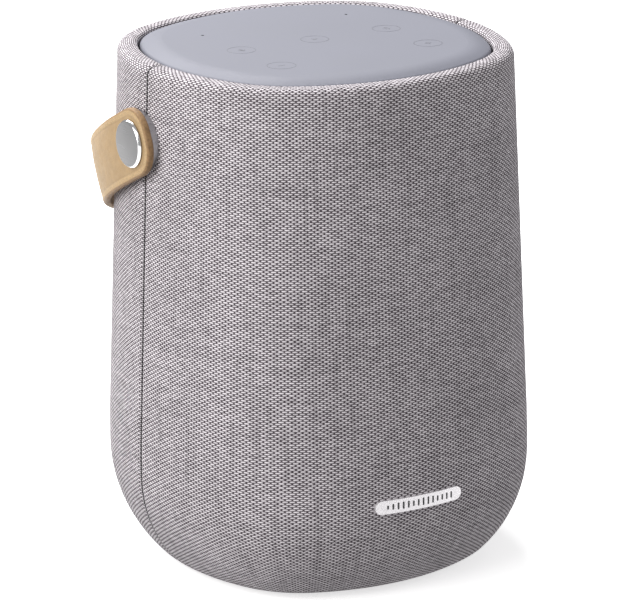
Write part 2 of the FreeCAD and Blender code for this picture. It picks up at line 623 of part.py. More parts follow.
# ---------------------------------------------------------------- electronics
MAIN_Y, MAIN_T = 50.0, 1.6
main = box(-36, 36, MAIN_Y, MAIN_Y + MAIN_T, 53, 105)
save("main_board", cut(main, [rod_y(M25_SHANK_R + 0.1, x, z, 40, 60) for x, z in BOARD_SPOTS]))
save("board_screws", Part.makeCompound([screw_y(x, z, MAIN_Y, 59.0) for x, z in BOARD_SPOTS]))
save("wireless_module", fuse([box(-26, 2, 49.0, 50.0, 76, 96), box(-25, -5, 46.8, 49.0, 77, 95)]))
fins = [box(8 + 3.6 * k, 9.4 + 3.6 * k, 38.0, 47.2, 62, 88) for k in range(7)]
save("heat_sink", fuse([box(8, 31.0, 47.0, 50.0, 62, 88)] + fins))
save("board_connectors", Part.makeCompound([
    box(-13.0, -3.0, 44.0, MAIN_Y, 98, 104), box(4.0, 12.0, 44.0, MAIN_Y, 98, 104),
    box(8.0, 16.0, 42.0, MAIN_Y, 54, 60), box(-7.0, 7.0, MAIN_Y + MAIN_T, RIBBON_Y, 96, 102)]))
ANTENNA_X, ANTENNA_Z = 40.0, CEILING_Z + CEILING_T
save("antennas", Part.makeCompound([
    box(s * ANTENNA_X - 4.0, s * ANTENNA_X + 4.0, -16, 16, ANTENNA_Z, ANTENNA_Z + 0.8) for s in (-1, 1)]))

CELL_R, CELL_L, CELL_PITCH, CELL_Z = 9.1, 65.0, 18.6, 16.2


def cell_rods(clear):
    """The four cells side by side, with room round them."""
    reach = CELL_L / 2 + clear
    rows = [CELL_PITCH * (k - 1.5) for k in range(4)]
    return [rod(CELL_R + clear, V(-reach, y, CELL_Z), V(reach, y, CELL_Z)) for y in rows]


save("battery_cells", Part.makeCompound(cell_rods(0.0)))
TRAY_X = CELL_L / 2 + 1.6
tray = box(-TRAY_X, TRAY_X, -37.0, 37.0, 5.5, 14.0)
save("battery_tray", cut(tray, cell_rods(0.1)))


def route(points, radius, bend):
    """A lead: straight runs joined by tangent arcs, as one round tube."""
    spots = [V(*p) for p in points]
    edges = []
    last = spots[0]
    for before, here, after in zip(spots, spots[1:], spots[2:]):
        way_in, way_out = (here - before), (after - here)
        way_in.normalize()
        way_out.normalize()
        turn = way_in.getAngle(way_out)
        trim = bend * math.tan(turn / 2.0)
        start, end = here - way_in * trim, here + way_out * trim
        toward = way_out - way_in
        toward.normalize()
        middle = here + toward * (bend / math.cos(turn / 2.0) - bend)
        edges += [Part.LineSegment(last, start).toShape(), Part.Arc(start, middle, end).toShape()]
        last = end
    edges.append(Part.LineSegment(last, spots[-1]).toShape())
    path = Part.Wire(edges)
    tangent = spots[1] - spots[0]
    ring = Part.Wire([Part.Circle(spots[0], tangent, radius).toShape()])
    pipe = path.makePipeShell([ring], True, False, 1)
    print("    lead: section times length %.1f, volume %.1f, bend radius %.1f" % (
        math.pi * radius ** 2 * path.Length, pipe.Volume, bend))
    return pipe




def pair_of_leads(xs, start_y, height, bend):
    """Two leads that run back at one height and drop to the connector."""
    runs = [[(x, start_y, height), (x, 46.6, height), (x, 46.6, 104.05)] for x in xs]
    return Part.makeCompound([route(run, 0.7, bend) for run in runs])


save("woofer_leads", pair_of_leads((-10.2, -6.2), BAFFLE_FRONT_Y + 24.1, 128.0, 10.0))
save("tweeter_leads", pair_of_leads((6.2, 9.8), -32.9, 156.0, 14.0))
BATTERY_LEAD_X = 12.0
lead_spots = [(37.2, 20.0), (44.0, 23.0), (44.0, 40.0), (46.0, 46.0), (46.0, 53.95)]
save("battery_lead", route([(BATTERY_LEAD_X, y, z) for y, z in lead_spots], 1.0, 3.0))
save("touch_ribbon", box(-RIBBON_W / 2, RIBBON_W / 2, RIBBON_Y, RIBBON_Y + RIBBON_T, 96.5, 183.45))

# ---------------------------------------------------------------- controls on the back
plate = skin(-0.3, FABRIC).common(inlay_prism(0.0, 50, 90))
save("rear_inlay", cut(plate, control_holes(50.0, 90.0)))
BUTTON_FACE = envelope(-0.9)
BUTTON_BACK_Y = 65.9


def button(x):
    """Round key with a curved face and a flange that keeps it behind the wall."""
    stem = rod_y(BUTTON_R, x, CONTROL_Z, BUTTON_BACK_Y, 80)
    flange = rod_y(BUTTON_R + 1.2, x, CONTROL_Z, BUTTON_BACK_Y, BUTTON_BACK_Y + 1.1)
    return fuse([stem, flange]).common(BUTTON_FACE)


save("power_button", button(POWER_X))
save("mute_button", button(MUTE_X))
save("status_lens", rod_y(1.2, LED_X, CONTROL_Z, 60.3, 80).common(envelope(-0.35)))
CONTROL_BOARD_Y = 58.5
control_pcb = box(-29, 29, CONTROL_BOARD_Y, 60.1, 37.5, 52.0)
save("control_board", control_pcb)
save("key_switches", Part.makeCompound([
    fuse([box(x - 3, x + 3, 60.1, 63.4, CONTROL_Z - 3, CONTROL_Z + 3), rod_y(1.6, x, CONTROL_Z, 63.4, 65.1)])
    for x in (POWER_X, MUTE_X)]))
usb_front_y = 72.0
usb = obround_y(USB_X, CONTROL_Z, 8.94, 3.26, 60.1, usb_front_y).cut(
    obround_y(USB_X, CONTROL_Z, 8.34, 2.56, usb_front_y - 6.6, usb_front_y + 1))
tongue_back, tongue_tip = usb_front_y - 6.9, usb_front_y - 0.9
tongue = box(USB_X - 3.35, USB_X + 3.35, tongue_back, tongue_tip, CONTROL_Z - 0.35, CONTROL_Z + 0.35)
save("usb_receptacle", fuse([usb, tongue]))

# ---------------------------------------------------------------- badge
badge = skin(-0.95, -0.02).common(obround_y(BADGE_X, BADGE_Z, BADGE_L, BADGE_H, -90, -40))
pins = Part.makeCompound(badge_pins(1.0, -80, -60)).common(envelope(-0.5)).cut(envelope(4.6))
save("badge", fuse([badge] + pins.Solids))


# ---------------------------------------------------------------- strap and pivots
STRAP_HALF = BOSS_FACE_X + STRAP_GAP + STRAP_T / 2.0


def strap_line(offset):
    """The strap's middle line, moved outwards by an offset: straight legs, side bends and a back bend.

    It lies in the XZ plane, with the hinge axis on X and the middle of the strap up +Z.
    """
    side_in, step = STRAP_SIDE_R - STRAP_HALF, STRAP_SIDE_R - STRAP_BACK_R
    turn = math.acos(side_in / step)
    back_z = STRAP_REACH - STRAP_BACK_R
    leg = back_z - step * math.sin(turn)
    side_r, back_r = STRAP_SIDE_R + offset, STRAP_BACK_R + offset
    edges, ends, joins = [], [], []
    for side in (1, -1):
        end = V(side * (STRAP_HALF + offset), 0, -STRAP_END)
        start = V(end.x, 0, leg)
        middle = V(side * (side_r * math.cos(turn / 2) - side_in), 0, leg + side_r * math.sin(turn / 2))
        join = V(side * back_r * math.cos(turn), 0, back_z + back_r * math.sin(turn))
        edges += [Part.LineSegment(end, start).toShape(), Part.Arc(start, middle, join).toShape()]
        ends.append(end)
        joins.append(join)
    edges.append(Part.Arc(joins[0], V(0, 0, STRAP_REACH + offset), joins[1]).toShape())
    return edges, ends


def strap():
    """A flat band bent into a U, with rounded ends and a bore at each rivet."""
    outer, outer_ends = strap_line(STRAP_T / 2.0)
    inner, inner_ends = strap_line(-STRAP_T / 2.0)
    joins = [Part.LineSegment(a, b).toShape() for a, b in zip(outer_ends, inner_ends)]
    face = Part.Face(Part.Wire(Part.__sortEdges__(outer + inner + joins)))
    band = face.extrude(V(0, STRAP_W, 0))
    band.translate(V(0, -STRAP_W / 2.0, 0))
    keep = []
    for side in (1, -1):
        x0, x1 = (60.0, 90.0) if side > 0 else (-90.0, -60.0)
        corner = STRAP_W / 2.0 - STRAP_END_R
        block = box(x0, x1, -STRAP_W, STRAP_W, -STRAP_END - 1, -STRAP_END + STRAP_END_R)
        centre = -STRAP_END + STRAP_END_R
        rounds = [rod(STRAP_END_R, V(x0, s * corner, centre), V(x1, s * corner, centre)) for s in (-1, 1)]
        middle = box(x0, x1, -corner, corner, -STRAP_END - 2, 0)
        keep.append(block.cut(fuse(rounds + [middle])))
    band = cut(band, keep + [rod(RIVET_SHANK_R + 0.05, V(-90, 0, 0), V(90, 0, 0))])
    band.rotate(V(0, 0, 0), X_AXIS, -90.0 - STRAP_TILT)
    band.translate(V(0, PIVOT_Y, PIVOT_Z))
    return band


save("handle_strap", strap())


def boss():
    """Disc between the fabric and the strap; its back follows the body."""
    disc = rod(BOSS_R, V(60, PIVOT_Y, PIVOT_Z), V(BOSS_FACE_X, PIVOT_Y, PIVOT_Z))
    return cut(disc, [envelope(-0.02), shank_hole])


def rivet():
    """Flat head with a bevelled rim, and a shank down to the anchor plate."""
    head_x = BOSS_FACE_X + 2 * STRAP_GAP + STRAP_T
    profile = turned([(0, 0), (RIVET_HEAD_R, 0), (RIVET_HEAD_R, 0.5), (RIVET_HEAD_R - 0.7, RIVET_HEAD_T),
                      (0, RIVET_HEAD_T)])
    profile.rotate(V(0, 0, 0), Y_AXIS, 90)
    profile.translate(V(head_x, PIVOT_Y, PIVOT_Z))
    return fuse([profile, rod(RIVET_SHANK_R, V(59.0, PIVOT_Y, PIVOT_Z), V(head_x + 0.3, PIVOT_Y, PIVOT_Z))])


def anchor():
    """Plate and nut inside the collar."""
    block = box(56, 70, PIVOT_Y - 11, PIVOT_Y + 11, PIVOT_Z - 8, PIVOT_Z + 8)
    plate_part = block.common(envelope(COLLAR_IN + 0.02)).cut(envelope(COLLAR_IN + 2.2))
    nut = rod(5.0, V(59.0, PIVOT_Y, PIVOT_Z), V(62.0, PIVOT_Y, PIVOT_Z))
    return cut(fuse([plate_part, nut]), [pivot_hole(RIVET_SHANK_R)])


for name, shape in (("pivot_boss", boss()), ("rivet", rivet())):
    save(name + "_right", shape)
    save(name + "_left", mirrored(shape))
one_anchor = anchor()
save("pivot_anchors", Part.makeCompound([one_anchor, mirrored(one_anchor)]))
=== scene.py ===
"""Smart speaker in two-tone woven cloth with a leather carrying strap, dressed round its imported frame.

Every length is in metres unless a property says otherwise. X runs to the right, Y to the back, Z up.
"""

import json
import math

import bmesh
import bpy
import numpy as np
from bpy.props import FloatProperty, FloatVectorProperty, IntProperty, PointerProperty
from mathutils import Matrix, Vector


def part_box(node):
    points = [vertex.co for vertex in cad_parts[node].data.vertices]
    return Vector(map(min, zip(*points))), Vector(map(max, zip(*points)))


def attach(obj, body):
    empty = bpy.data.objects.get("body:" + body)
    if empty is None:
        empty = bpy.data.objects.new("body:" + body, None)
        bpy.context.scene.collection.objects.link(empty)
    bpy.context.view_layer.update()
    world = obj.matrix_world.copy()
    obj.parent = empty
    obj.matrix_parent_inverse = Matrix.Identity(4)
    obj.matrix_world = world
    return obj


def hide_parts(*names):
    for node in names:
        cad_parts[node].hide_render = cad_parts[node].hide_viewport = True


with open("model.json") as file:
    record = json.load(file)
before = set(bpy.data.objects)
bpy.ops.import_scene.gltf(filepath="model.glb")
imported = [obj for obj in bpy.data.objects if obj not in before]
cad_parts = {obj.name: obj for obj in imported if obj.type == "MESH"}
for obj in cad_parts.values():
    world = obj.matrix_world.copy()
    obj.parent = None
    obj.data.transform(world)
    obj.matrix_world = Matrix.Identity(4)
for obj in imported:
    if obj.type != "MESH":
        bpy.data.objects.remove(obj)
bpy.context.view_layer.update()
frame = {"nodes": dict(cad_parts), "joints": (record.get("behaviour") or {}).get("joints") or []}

bl_info = {
    "name": "Strap Speaker",
    "version": (1, 0, 0),
    "blender": (4, 5, 0),
    "location": "View3D > Sidebar > Speaker",
    "description": "Builds the cloth, leather, metal and plastic of a portable smart speaker",
    "category": "Object",
}

# ---------------------------------------------------------------- the body's outline
MM = 0.001

SIDE_OFFSET = 18.4 * MM         # how far behind the body's axis each side arc has its centre
CORNER_CENTRE = 18.75 * MM      # x and y of each corner arc's centre
CORNER_INSET = math.hypot(CORNER_CENTRE, CORNER_CENTRE + SIDE_OFFSET) - SIDE_OFFSET
SIDE_SPAN = math.atan2(CORNER_CENTRE, CORNER_CENTRE + SIDE_OFFSET)
MIDDLE_HALF = 70.0 * MM         # half-width at which the cloth's threads have their true spacing

FOOT_HALF, FOOT_Z = 56.0 * MM, 2.0 * MM
HEM_HALF = 50.0 * MM
HEEL = (5.4 * MM, 46.0)         # radius and turn in degrees of each arc, from the foot up
BOWL = (50.0 * MM, 44.0)
BELLY = (400.0 * MM, 2.5)
RIM_RADIUS, LIP_RADIUS = 3.2 * MM, 1.4 * MM
LIP_DEPTH = 4.3 * MM
PANEL_GAP = 0.8 * MM
WALL_STEP = 2.0 * MM            # spacing of points where only the wall's line is needed

SEAM_HALF_GAP = 0.05 * MM
SEAM_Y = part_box("fabric_back")[0].y - SEAM_HALF_GAP
PANEL_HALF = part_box("top_panel")[1].x
PANEL_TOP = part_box("top_panel")[1].z
RIM_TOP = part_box("fabric_front")[1].z
PIVOT = Vector(frame["joints"][0]["pos_m"])
STRAP_OUT_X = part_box("handle_strap")[1].x
HEAD_OUT_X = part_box("rivet_right")[1].x
STRAP_TILT = math.radians(26.0)


def outward(turn):
    """Unit vector in the XY plane at an angle from +X."""
    return np.array((math.cos(turn), math.sin(turn)))


def body_point(half, turn):
    """Point of the rounded square of that half-width whose outline faces the angle turn."""
    face = round(turn / (math.pi / 2)) * math.pi / 2
    if abs(turn - face) <= SIDE_SPAN:
        return -SIDE_OFFSET * outward(face) + (half + SIDE_OFFSET) * outward(turn)
    quarter = math.floor(turn / (math.pi / 2)) * math.pi / 2 + math.pi / 4
    corner = math.hypot(CORNER_CENTRE, CORNER_CENTRE) * outward(quarter)
    return corner + (half - CORNER_INSET) * outward(turn)


COARSEST_TURN = 9.0             # degrees that one step of an arc may turn


def trace(start, heading, moves, step):
    """Points along a chain of lines (length, 0) and arcs (radius, degrees) in half-width and height."""
    x, z = start
    angle = math.radians(heading)
    points = [(x, z)]
    for size, turn in moves:
        if turn == 0:
            count = max(1, round(size / step))
            for _ in range(count):
                x += size / count * math.cos(angle)
                z += size / count * math.sin(angle)
                points.append((x, z))
            continue
        bend = math.radians(turn)
        side = size if turn > 0 else -size
        count = max(round(abs(size * bend) / step), round(abs(turn) / COARSEST_TURN), 2)
        cx, cz = x - side * math.sin(angle), z + side * math.cos(angle)
        for k in range(1, count + 1):
            part = angle + bend * k / count
            points.append((cx + side * math.sin(part), cz - side * math.cos(part)))
        angle += bend
        x, z = points[-1]
    return points


def cloth_meridian(step):
    """Half-width and height from the hem under the foot, up the wall, over the rim and down the lip."""
    curve = [HEEL, BOWL, BELLY]
    lean = math.radians(sum(turn for _, turn in curve))
    top = trace((FOOT_HALF, FOOT_Z), 0, curve, step)[-1][1]
    wall = (RIM_TOP - RIM_RADIUS * (1 + math.cos(lean)) - top) / math.sin(lean)
    over = [(RIM_RADIUS, 180 - math.degrees(lean))]
    rim_x = trace((FOOT_HALF, FOOT_Z), 0, curve + [(wall, 0)] + over, step)[-1][0]
    flat = rim_x - PANEL_HALF - PANEL_GAP - LIP_RADIUS
    moves = [(FOOT_HALF - HEM_HALF, 0)] + curve + [(wall, 0)] + over + [
        (flat, 0), (LIP_RADIUS, 90), (LIP_DEPTH - LIP_RADIUS, 0)]
    return np.array(trace((HEM_HALF, FOOT_Z), 0, moves, step))


def on_wall(node, proud, side):
    """A frame for marks on the middle of a CAD node that stands proud of the wall; side is -1 in front."""
    points = cloth_meridian(WALL_STEP)
    wall = points[points[:, 1] < RIM_TOP - RIM_RADIUS]
    wall = wall[:int(np.argmax(wall[:, 1])) + 1]
    low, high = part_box(node)
    centre_x, centre_z = (low.x + high.x) / 2, (low.z + high.z) / 2

    def to_speaker(a, b, lift):
        half = float(np.interp(centre_z + b, wall[:, 1], wall[:, 0])) + proud + lift
        x = centre_x - side * a
        return x, side * (math.sqrt((half + SIDE_OFFSET) ** 2 - x * x) - SIDE_OFFSET), centre_z + b

    return to_speaker


# ---------------------------------------------------------------- mesh helpers
def mesh_piece(name, points, faces, smooth=True):
    """A new object in the scene from points and faces."""
    mesh = bpy.data.meshes.new(name)
    mesh.from_pydata([tuple(p) for p in points], [], faces)
    mesh.validate()
    if smooth:
        mesh.polygons.foreach_set("use_smooth", [True] * len(mesh.polygons))
    piece = bpy.data.objects.new(name, mesh)
    bpy.context.scene.collection.objects.link(piece)
    return piece


def apply_modifiers(piece):
    """Keep the modified shape as the piece's own mesh."""
    bpy.context.view_layer.update()
    graph = bpy.context.evaluated_depsgraph_get()
    final = bpy.data.meshes.new_from_object(piece.evaluated_get(graph))
    piece.modifiers.clear()
    piece.data = final


def paint(piece, *materials):
    """Give a piece its materials, in order."""
    for material in materials:
        piece.data.materials.append(material)


def place(piece, body, slot, *nodes):
    """Ride a body and stand for some CAD nodes; the slot is not used."""
    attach(piece, body)
    if nodes:
        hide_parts(*nodes)


def dress(nodes, material):
    """Give CAD nodes that stay in view a finished material."""
    for node in nodes:
        for holder in frame["nodes"][node].material_slots:
            holder.material = material


def by_own_slot(nodes):
    """Finish CAD nodes by the slot that each one's material is named for."""
    for node in nodes:
        for holder in frame["nodes"][node].material_slots:
            holder.material = finish_for(holder.material.name.split(".")[0])


def bridge(faces, start, count):
    """Add the quads between one closed ring of points and the next."""
    for k in range(count):
        a, b = start + k, start + (k + 1) % count
        faces.append((a, b, b + count, a + count))


def lathe(name, profile, to_speaker, segments):
    """Turned piece from (radius, height) points; to_speaker takes a point about its axis to its place."""
    points, faces = [], []
    for radius, height in profile:
        for k in range(segments):
            turn = math.tau * k / segments
            points.append(to_speaker(radius * math.cos(turn), radius * math.sin(turn), height))
    last = (len(profile) - 1) * segments
    for start in range(0, last, segments):
        bridge(faces, start, segments)
    faces.append(tuple(reversed(range(segments))))
    faces.append(tuple(range(last, last + segments)))
    return mesh_piece(name, points, faces)


def lay_map(piece, name, spots):
    """A UV layer with one spot for each point of the mesh."""
    layer = piece.data.uv_layers.new(name=name)
    for loop in piece.data.loops:
        layer.data[loop.index].uv = spots[loop.vertex_index]


def face_outwards(piece):
    """Make all face normals of a closed piece point out."""
    work = bmesh.new()
    work.from_mesh(piece.data)
    bmesh.ops.recalc_face_normals(work, faces=work.faces)
    work.to_mesh(piece.data)
    work.free()


def crisp_edges(piece, degrees):
    """Keep the edges that turn by more than an angle crisp."""
    work = bmesh.new()
    work.from_mesh(piece.data)
    limit = math.radians(degrees)
    for edge in work.edges:
        if len(edge.link_faces) == 2:
            edge.smooth = edge.calc_face_angle() < limit
    work.to_mesh(piece.data)
    work.free()


def raised_shapes(name, outlines, to_speaker, height, bevel):
    """Thin shapes standing on a face: flat outlines, raised by a height with a sloped edge."""
    points, faces = [], []
    for outline in outlines:
        ring = np.array(outline, float)
        middle = ring.mean(0)
        size = np.abs(ring - middle).max()
        base = len(points)
        count = len(ring)
        levels = ((0.0, 0.0), (bevel * 0.4, height * 0.75), (bevel, height))
        for inset, lift in levels:
            for x, y in middle + (ring - middle) * (1.0 - inset / size):
                points.append(to_speaker(x, y, lift))
        for start in (base, base + count):
            bridge(faces, start, count)
        faces.append(tuple(base + 2 * count + k for k in range(count)))
        faces.append(tuple(base + k for k in reversed(range(count))))
    return mesh_piece(name, points, faces, smooth=False)


def bar(cx, cy, length, width, turn=0.0):
    """Outline of a straight bar with round ends."""
    radius, reach = width / 2, max(length - width, 0) / 2
    c, s = math.cos(turn), math.sin(turn)
    ring = []
    for side in (1, -1):
        for k in range(9):
            bend = -math.pi / 2 + math.pi * k / 8
            x, y = side * (reach + radius * math.cos(bend)), side * radius * math.sin(bend)
            ring.append((cx + x * c - y * s, cy + x * s + y * c))
    return ring


def arc_bars(cx, cy, radius, width, start, end, pieces):
    """A curved stroke as short bars that overlap."""
    bars = []
    for k in range(pieces):
        a = math.radians(start + (end - start) * (k + 0.5) / pieces)
        run = math.radians(abs(end - start)) / pieces * radius + width * 0.6
        bars.append(bar(cx + radius * math.cos(a), cy + radius * math.sin(a), run, width, a + math.pi / 2))
    return bars


# ---------------------------------------------------------------- finishes
class Finish:
    """A material put together node by node; plain values go straight on the shader's sockets."""

    def __init__(self, name, **plain):
        self.material = bpy.data.materials.new(name)
        self.material.use_nodes = True
        self.tree = self.material.node_tree
        self.shader = self.tree.nodes["Principled BSDF"]
        for socket, value in plain.items():
            self.shader.inputs[socket.replace("_", " ")].default_value = value
        self.place = self.node("ShaderNodeTexCoord").outputs["Object"]

    def feed(self, socket, value):
        """Link another node's output to a socket, or set a plain value on it."""
        if isinstance(value, bpy.types.NodeSocket):
            self.tree.links.new(value, socket)
        else:
            socket.default_value = value

    def node(self, kind, **settings):
        made = self.tree.nodes.new(kind)
        for key, value in settings.items():
            setattr(made, key, value)
        return made

    def calc(self, operation, *values):
        made = self.node("ShaderNodeMath", operation=operation)
        for socket, value in zip(made.inputs, values):
            self.feed(socket, value)
        return made.outputs[0]

    def times(self, first, second):
        return self.calc("MULTIPLY", first, second)

    def centred(self, value):
        """A value from 0 to 1, moved to lie evenly round 0."""
        return self.calc("SUBTRACT", value, 0.5)

    def ridges(self, value):
        """A round ridge, from 0 up to 1 and back, between each whole number and the next."""
        return self.calc("ABSOLUTE", self.calc("SINE", self.times(value, math.pi)))

    def remap(self, value, low, high, out_low=0.0, out_high=1.0):
        """A soft rise of the output as the value goes from low to high."""
        made = self.node("ShaderNodeMapRange", interpolation_type="SMOOTHSTEP")
        for socket, given in zip(made.inputs, (value, low, high, out_low, out_high)):
            self.feed(socket, given)
        return made.outputs[0]

    def mix(self, share, first, second, blend="MIX"):
        made = self.node("ShaderNodeMix", data_type="RGBA", blend_type=blend)
        for index, value in ((0, share), (6, first), (7, second)):
            self.feed(made.inputs[index], value)
        return made.outputs[2]

    def join(self, x, y=0.0, z=0.0):
        made = self.node("ShaderNodeCombineXYZ")
        for socket, value in zip(made.inputs, (x, y, z)):
            self.feed(socket, value)
        return made.outputs[0]

    def split(self, vector):
        made = self.node("ShaderNodeSeparateXYZ")
        self.feed(made.inputs[0], vector)
        return made.outputs

    def map(self, layer):
        """The x, y and z of a UV layer."""
        return self.split(self.node("ShaderNodeUVMap", uv_map=layer).outputs[0])

    def noise(self, vector, scale, detail=2.0, rough=0.5):
        made = self.node("ShaderNodeTexNoise")
        self.feed(made.inputs["Vector"], vector)
        made.inputs["Scale"].default_value = scale
        made.inputs["Detail"].default_value = detail
        made.inputs["Roughness"].default_value = rough
        return made.outputs[0]

    def cells(self, vector, scale, feature="F1"):
        made = self.node("ShaderNodeTexVoronoi", feature=feature)
        self.feed(made.inputs["Vector"], vector)
        made.inputs["Scale"].default_value = scale
        return made.outputs["Distance"]

    def chance(self, x, y):
        """A value from 0 to 1 that is fixed for each pair of whole numbers."""
        made = self.node("ShaderNodeTexWhiteNoise", noise_dimensions="2D")
        self.feed(made.inputs["Vector"], self.join(x, y))
        return made.outputs["Value"]

    def colour(self, value):
        self.feed(self.shader.inputs["Base Color"], value)

    def rough(self, value):
        self.feed(self.shader.inputs["Roughness"], value)

    def bump(self, height, strength, distance):
        made = self.node("ShaderNodeBump")
        made.inputs["Strength"].default_value = strength
        made.inputs["Distance"].default_value = distance
        self.feed(made.inputs["Height"], height)
        self.feed(self.shader.inputs["Normal"], made.outputs[0])


def shade(colour, factor):
    """The colour, lighter or darker by a factor, with full alpha."""
    return tuple(min(1.0, c * factor) for c in colour[:3]) + (1.0,)


def grained(name, colour, rough, grain, depth, spread=0.12, **plain):
    """Moulded, cast or painted stuff: a soft drift of colour, a fine grain and uneven gloss."""
    finish = Finish(name, **plain)
    drift = finish.noise(finish.place, 28.0, 3.0)
    fine = finish.noise(finish.place, grain, 2.0, 0.6)
    tone = finish.remap(finish.calc("MULTIPLY_ADD", fine, 0.35, finish.times(drift, 0.65)), 0.3, 0.7)
    finish.colour(finish.mix(tone, shade(colour, 1 - spread), shade(colour, 1 + spread)))
    finish.rough(finish.calc("MULTIPLY_ADD", tone, 0.12, rough - 0.06))
    finish.bump(fine, 0.5, depth)
    return finish.material


def brushed(name, colour, rough, axis):
    """Metal with fine parallel scratches along one axis."""
    finish = Finish(name, Metallic=1.0)
    parts = finish.split(finish.place)
    squeezed = [finish.times(parts[k], 40.0 if k == axis else 2600.0) for k in range(3)]
    lines = finish.noise(finish.join(*squeezed), 1.0, 3.0, 0.6)
    stain = finish.noise(finish.place, 60.0, 2.0)
    finish.colour(finish.mix(finish.remap(stain, 0.3, 0.7), shade(colour, 0.92), shade(colour, 1.06)))
    finish.rough(finish.remap(lines, 0.3, 0.7, rough - 0.03, rough + 0.03))
    finish.bump(lines, 0.1, 0.005 * MM)
    return finish.material


def woven(name, look):
    """Thick cloth: pale knots laid like bricks over dark thread, and painted shade along each seam."""
    finish = Finish(name, Specular_IOR_Level=0.15, Roughness=0.92)
    u, v, _ = finish.map("UVMap")
    flat = finish.join(u, v)
    sway = finish.centred(finish.noise(flat, 75.0))
    swell = finish.centred(finish.noise(finish.join(v, u), 60.0))
    across = finish.calc("MULTIPLY_ADD", sway, 0.35, finish.calc("DIVIDE", u, look.warp_pitch))
    along = finish.calc("MULTIPLY_ADD", swell, 0.3, finish.calc("DIVIDE", v, look.weft_pitch))

    # each row of knots is set half a knot aside from the one below it
    row = finish.calc("FLOOR", along)
    slot = finish.times(finish.calc("ADD", across, row), 0.5)
    column = finish.calc("FLOOR", slot)
    knot = finish.times(finish.ridges(slot), finish.calc("POWER", finish.ridges(along), 0.8))
    luck = finish.chance(column, row)
    other_luck = finish.chance(row, column)
    fibre = finish.noise(finish.join(finish.times(u, 1500.0), finish.times(v, 6000.0)), 1.0)
    raised = finish.calc("MULTIPLY_ADD", finish.centred(luck), 0.14, knot)
    raised = finish.calc("MULTIPLY_ADD", finish.centred(fibre), 0.3, raised)
    light = finish.remap(raised, look.thread_low, look.thread_high)
    dark = finish.mix(other_luck, shade(look.dark_thread, 0.75), shade(look.dark_thread, 1.4))
    pale = finish.mix(luck, shade(look.light_thread, 0.94), shade(look.light_thread, 1.05))

    # thick dark places in single threads, wide soft clouds, and painted shade in the fold at the seam
    thread = finish.calc("FLOOR", across)
    thick_row = finish.noise(finish.join(finish.times(u, 26.0), finish.times(row, 7.31)), 1.0)
    thick_thread = finish.noise(finish.join(finish.times(thread, 5.17), finish.times(v, 22.0)), 1.0)
    streak = finish.times(finish.remap(thick_row, 0.26, 0.5, look.slub, 1.04),
                          finish.remap(thick_thread, 0.27, 0.48, look.slub, 1.04))
    cloud = finish.remap(finish.noise(flat, 30.0), 0.3, 0.7, 0.95, 1.05)
    # painted shade: the cloth is darkened within a millimetre of each seam, where the fold would be shaded
    seam_shade = finish.remap(finish.map("Seam")[0], 0.3 * MM, 0.85 * MM, 0.2, 1.0)
    tone = finish.times(finish.times(streak, cloud), seam_shade)
    finish.colour(finish.mix(1.0, finish.mix(light, dark, pale), finish.join(tone, tone, tone), "MULTIPLY"))
    relief = finish.calc("MULTIPLY_ADD", fibre, 0.25, knot)
    finish.bump(finish.calc("MULTIPLY_ADD", light, 0.3, relief), 0.75, 0.28 * MM)
    return finish.material


def hide(name, look):
    """Tan leather: fine pores, soft blotches, a paler raised border and darker cut sides."""
    finish = Finish(name, Specular_IOR_Level=0.35, Sheen_Weight=0.08)
    inset, side, _ = finish.map("UVMap")
    pores = finish.cells(finish.place, 2100.0)
    creases = finish.cells(finish.place, 900.0, "DISTANCE_TO_EDGE")
    blotch = finish.noise(finish.place, 260.0, 3.0)
    mottle = finish.noise(finish.place, 800.0, 3.0, 0.65)
    speck = finish.noise(finish.place, 1900.0, 2.0, 0.6)
    base = finish.mix(finish.remap(blotch, 0.3, 0.7), shade(look.leather, 0.94), shade(look.leather, 1.05))
    pale = finish.mix(finish.remap(speck, 0.36, 0.64), shade(look.leather_edge, 0.86),
                      shade(look.leather_edge, 1.2))
    cut = finish.mix(finish.remap(mottle, 0.35, 0.65), shade(look.leather_side, 0.75),
                     shade(look.leather_side, 1.15))
    border = finish.remap(inset, 2.9 * MM, 2.1 * MM)
    groove = finish.times(finish.remap(inset, 2.2 * MM, 2.6 * MM), finish.remap(inset, 3.2 * MM, 2.8 * MM))
    face = finish.mix(finish.times(border, 0.85), base, pale)
    face = finish.mix(finish.times(groove, 0.18), face, shade(look.leather, 0.62))
    face = finish.mix(finish.remap(inset, 0.95 * MM, 0.6 * MM), face, cut)
    finish.colour(finish.mix(finish.remap(side, 0.4, 0.6), face, cut))
    finish.rough(finish.remap(mottle, 0.3, 0.7, 0.5, 0.66))
    wrinkled = finish.calc("MULTIPLY_ADD", finish.remap(creases, 0.0, 0.16), 0.4, mottle)
    finish.bump(finish.calc("MULTIPLY_ADD", finish.remap(pores, 0.12, 0.5), 0.5, wrinkled), 0.45, 0.1 * MM)
    return finish.material


def printed_board(name, colour):
    """Circuit board: solder mask over copper tracks, with pale lands."""
    finish = Finish(name, Coat_Weight=0.3)
    tracks = finish.node("ShaderNodeTexBrick")
    finish.feed(tracks.inputs["Vector"], finish.place)
    tracks.inputs["Scale"].default_value = 260.0
    tracks.inputs["Mortar Size"].default_value = 0.035
    track = tracks.outputs["Fac"]
    tone = finish.noise(finish.place, 300.0)
    mask = finish.mix(finish.remap(tone, 0.3, 0.7), shade(colour, 0.85), shade(colour, 1.2))
    lands = finish.remap(finish.cells(finish.place, 420.0), 0.16, 0.12)
    with_tracks = finish.mix(finish.times(track, 0.6), mask, shade(colour, 1.9))
    finish.colour(finish.mix(lands, with_tracks, (0.6, 0.58, 0.5, 1.0)))
    finish.rough(finish.remap(tone, 0.3, 0.7, 0.3, 0.42))
    finish.bump(track, 0.4, 0.05 * MM)
    return finish.material


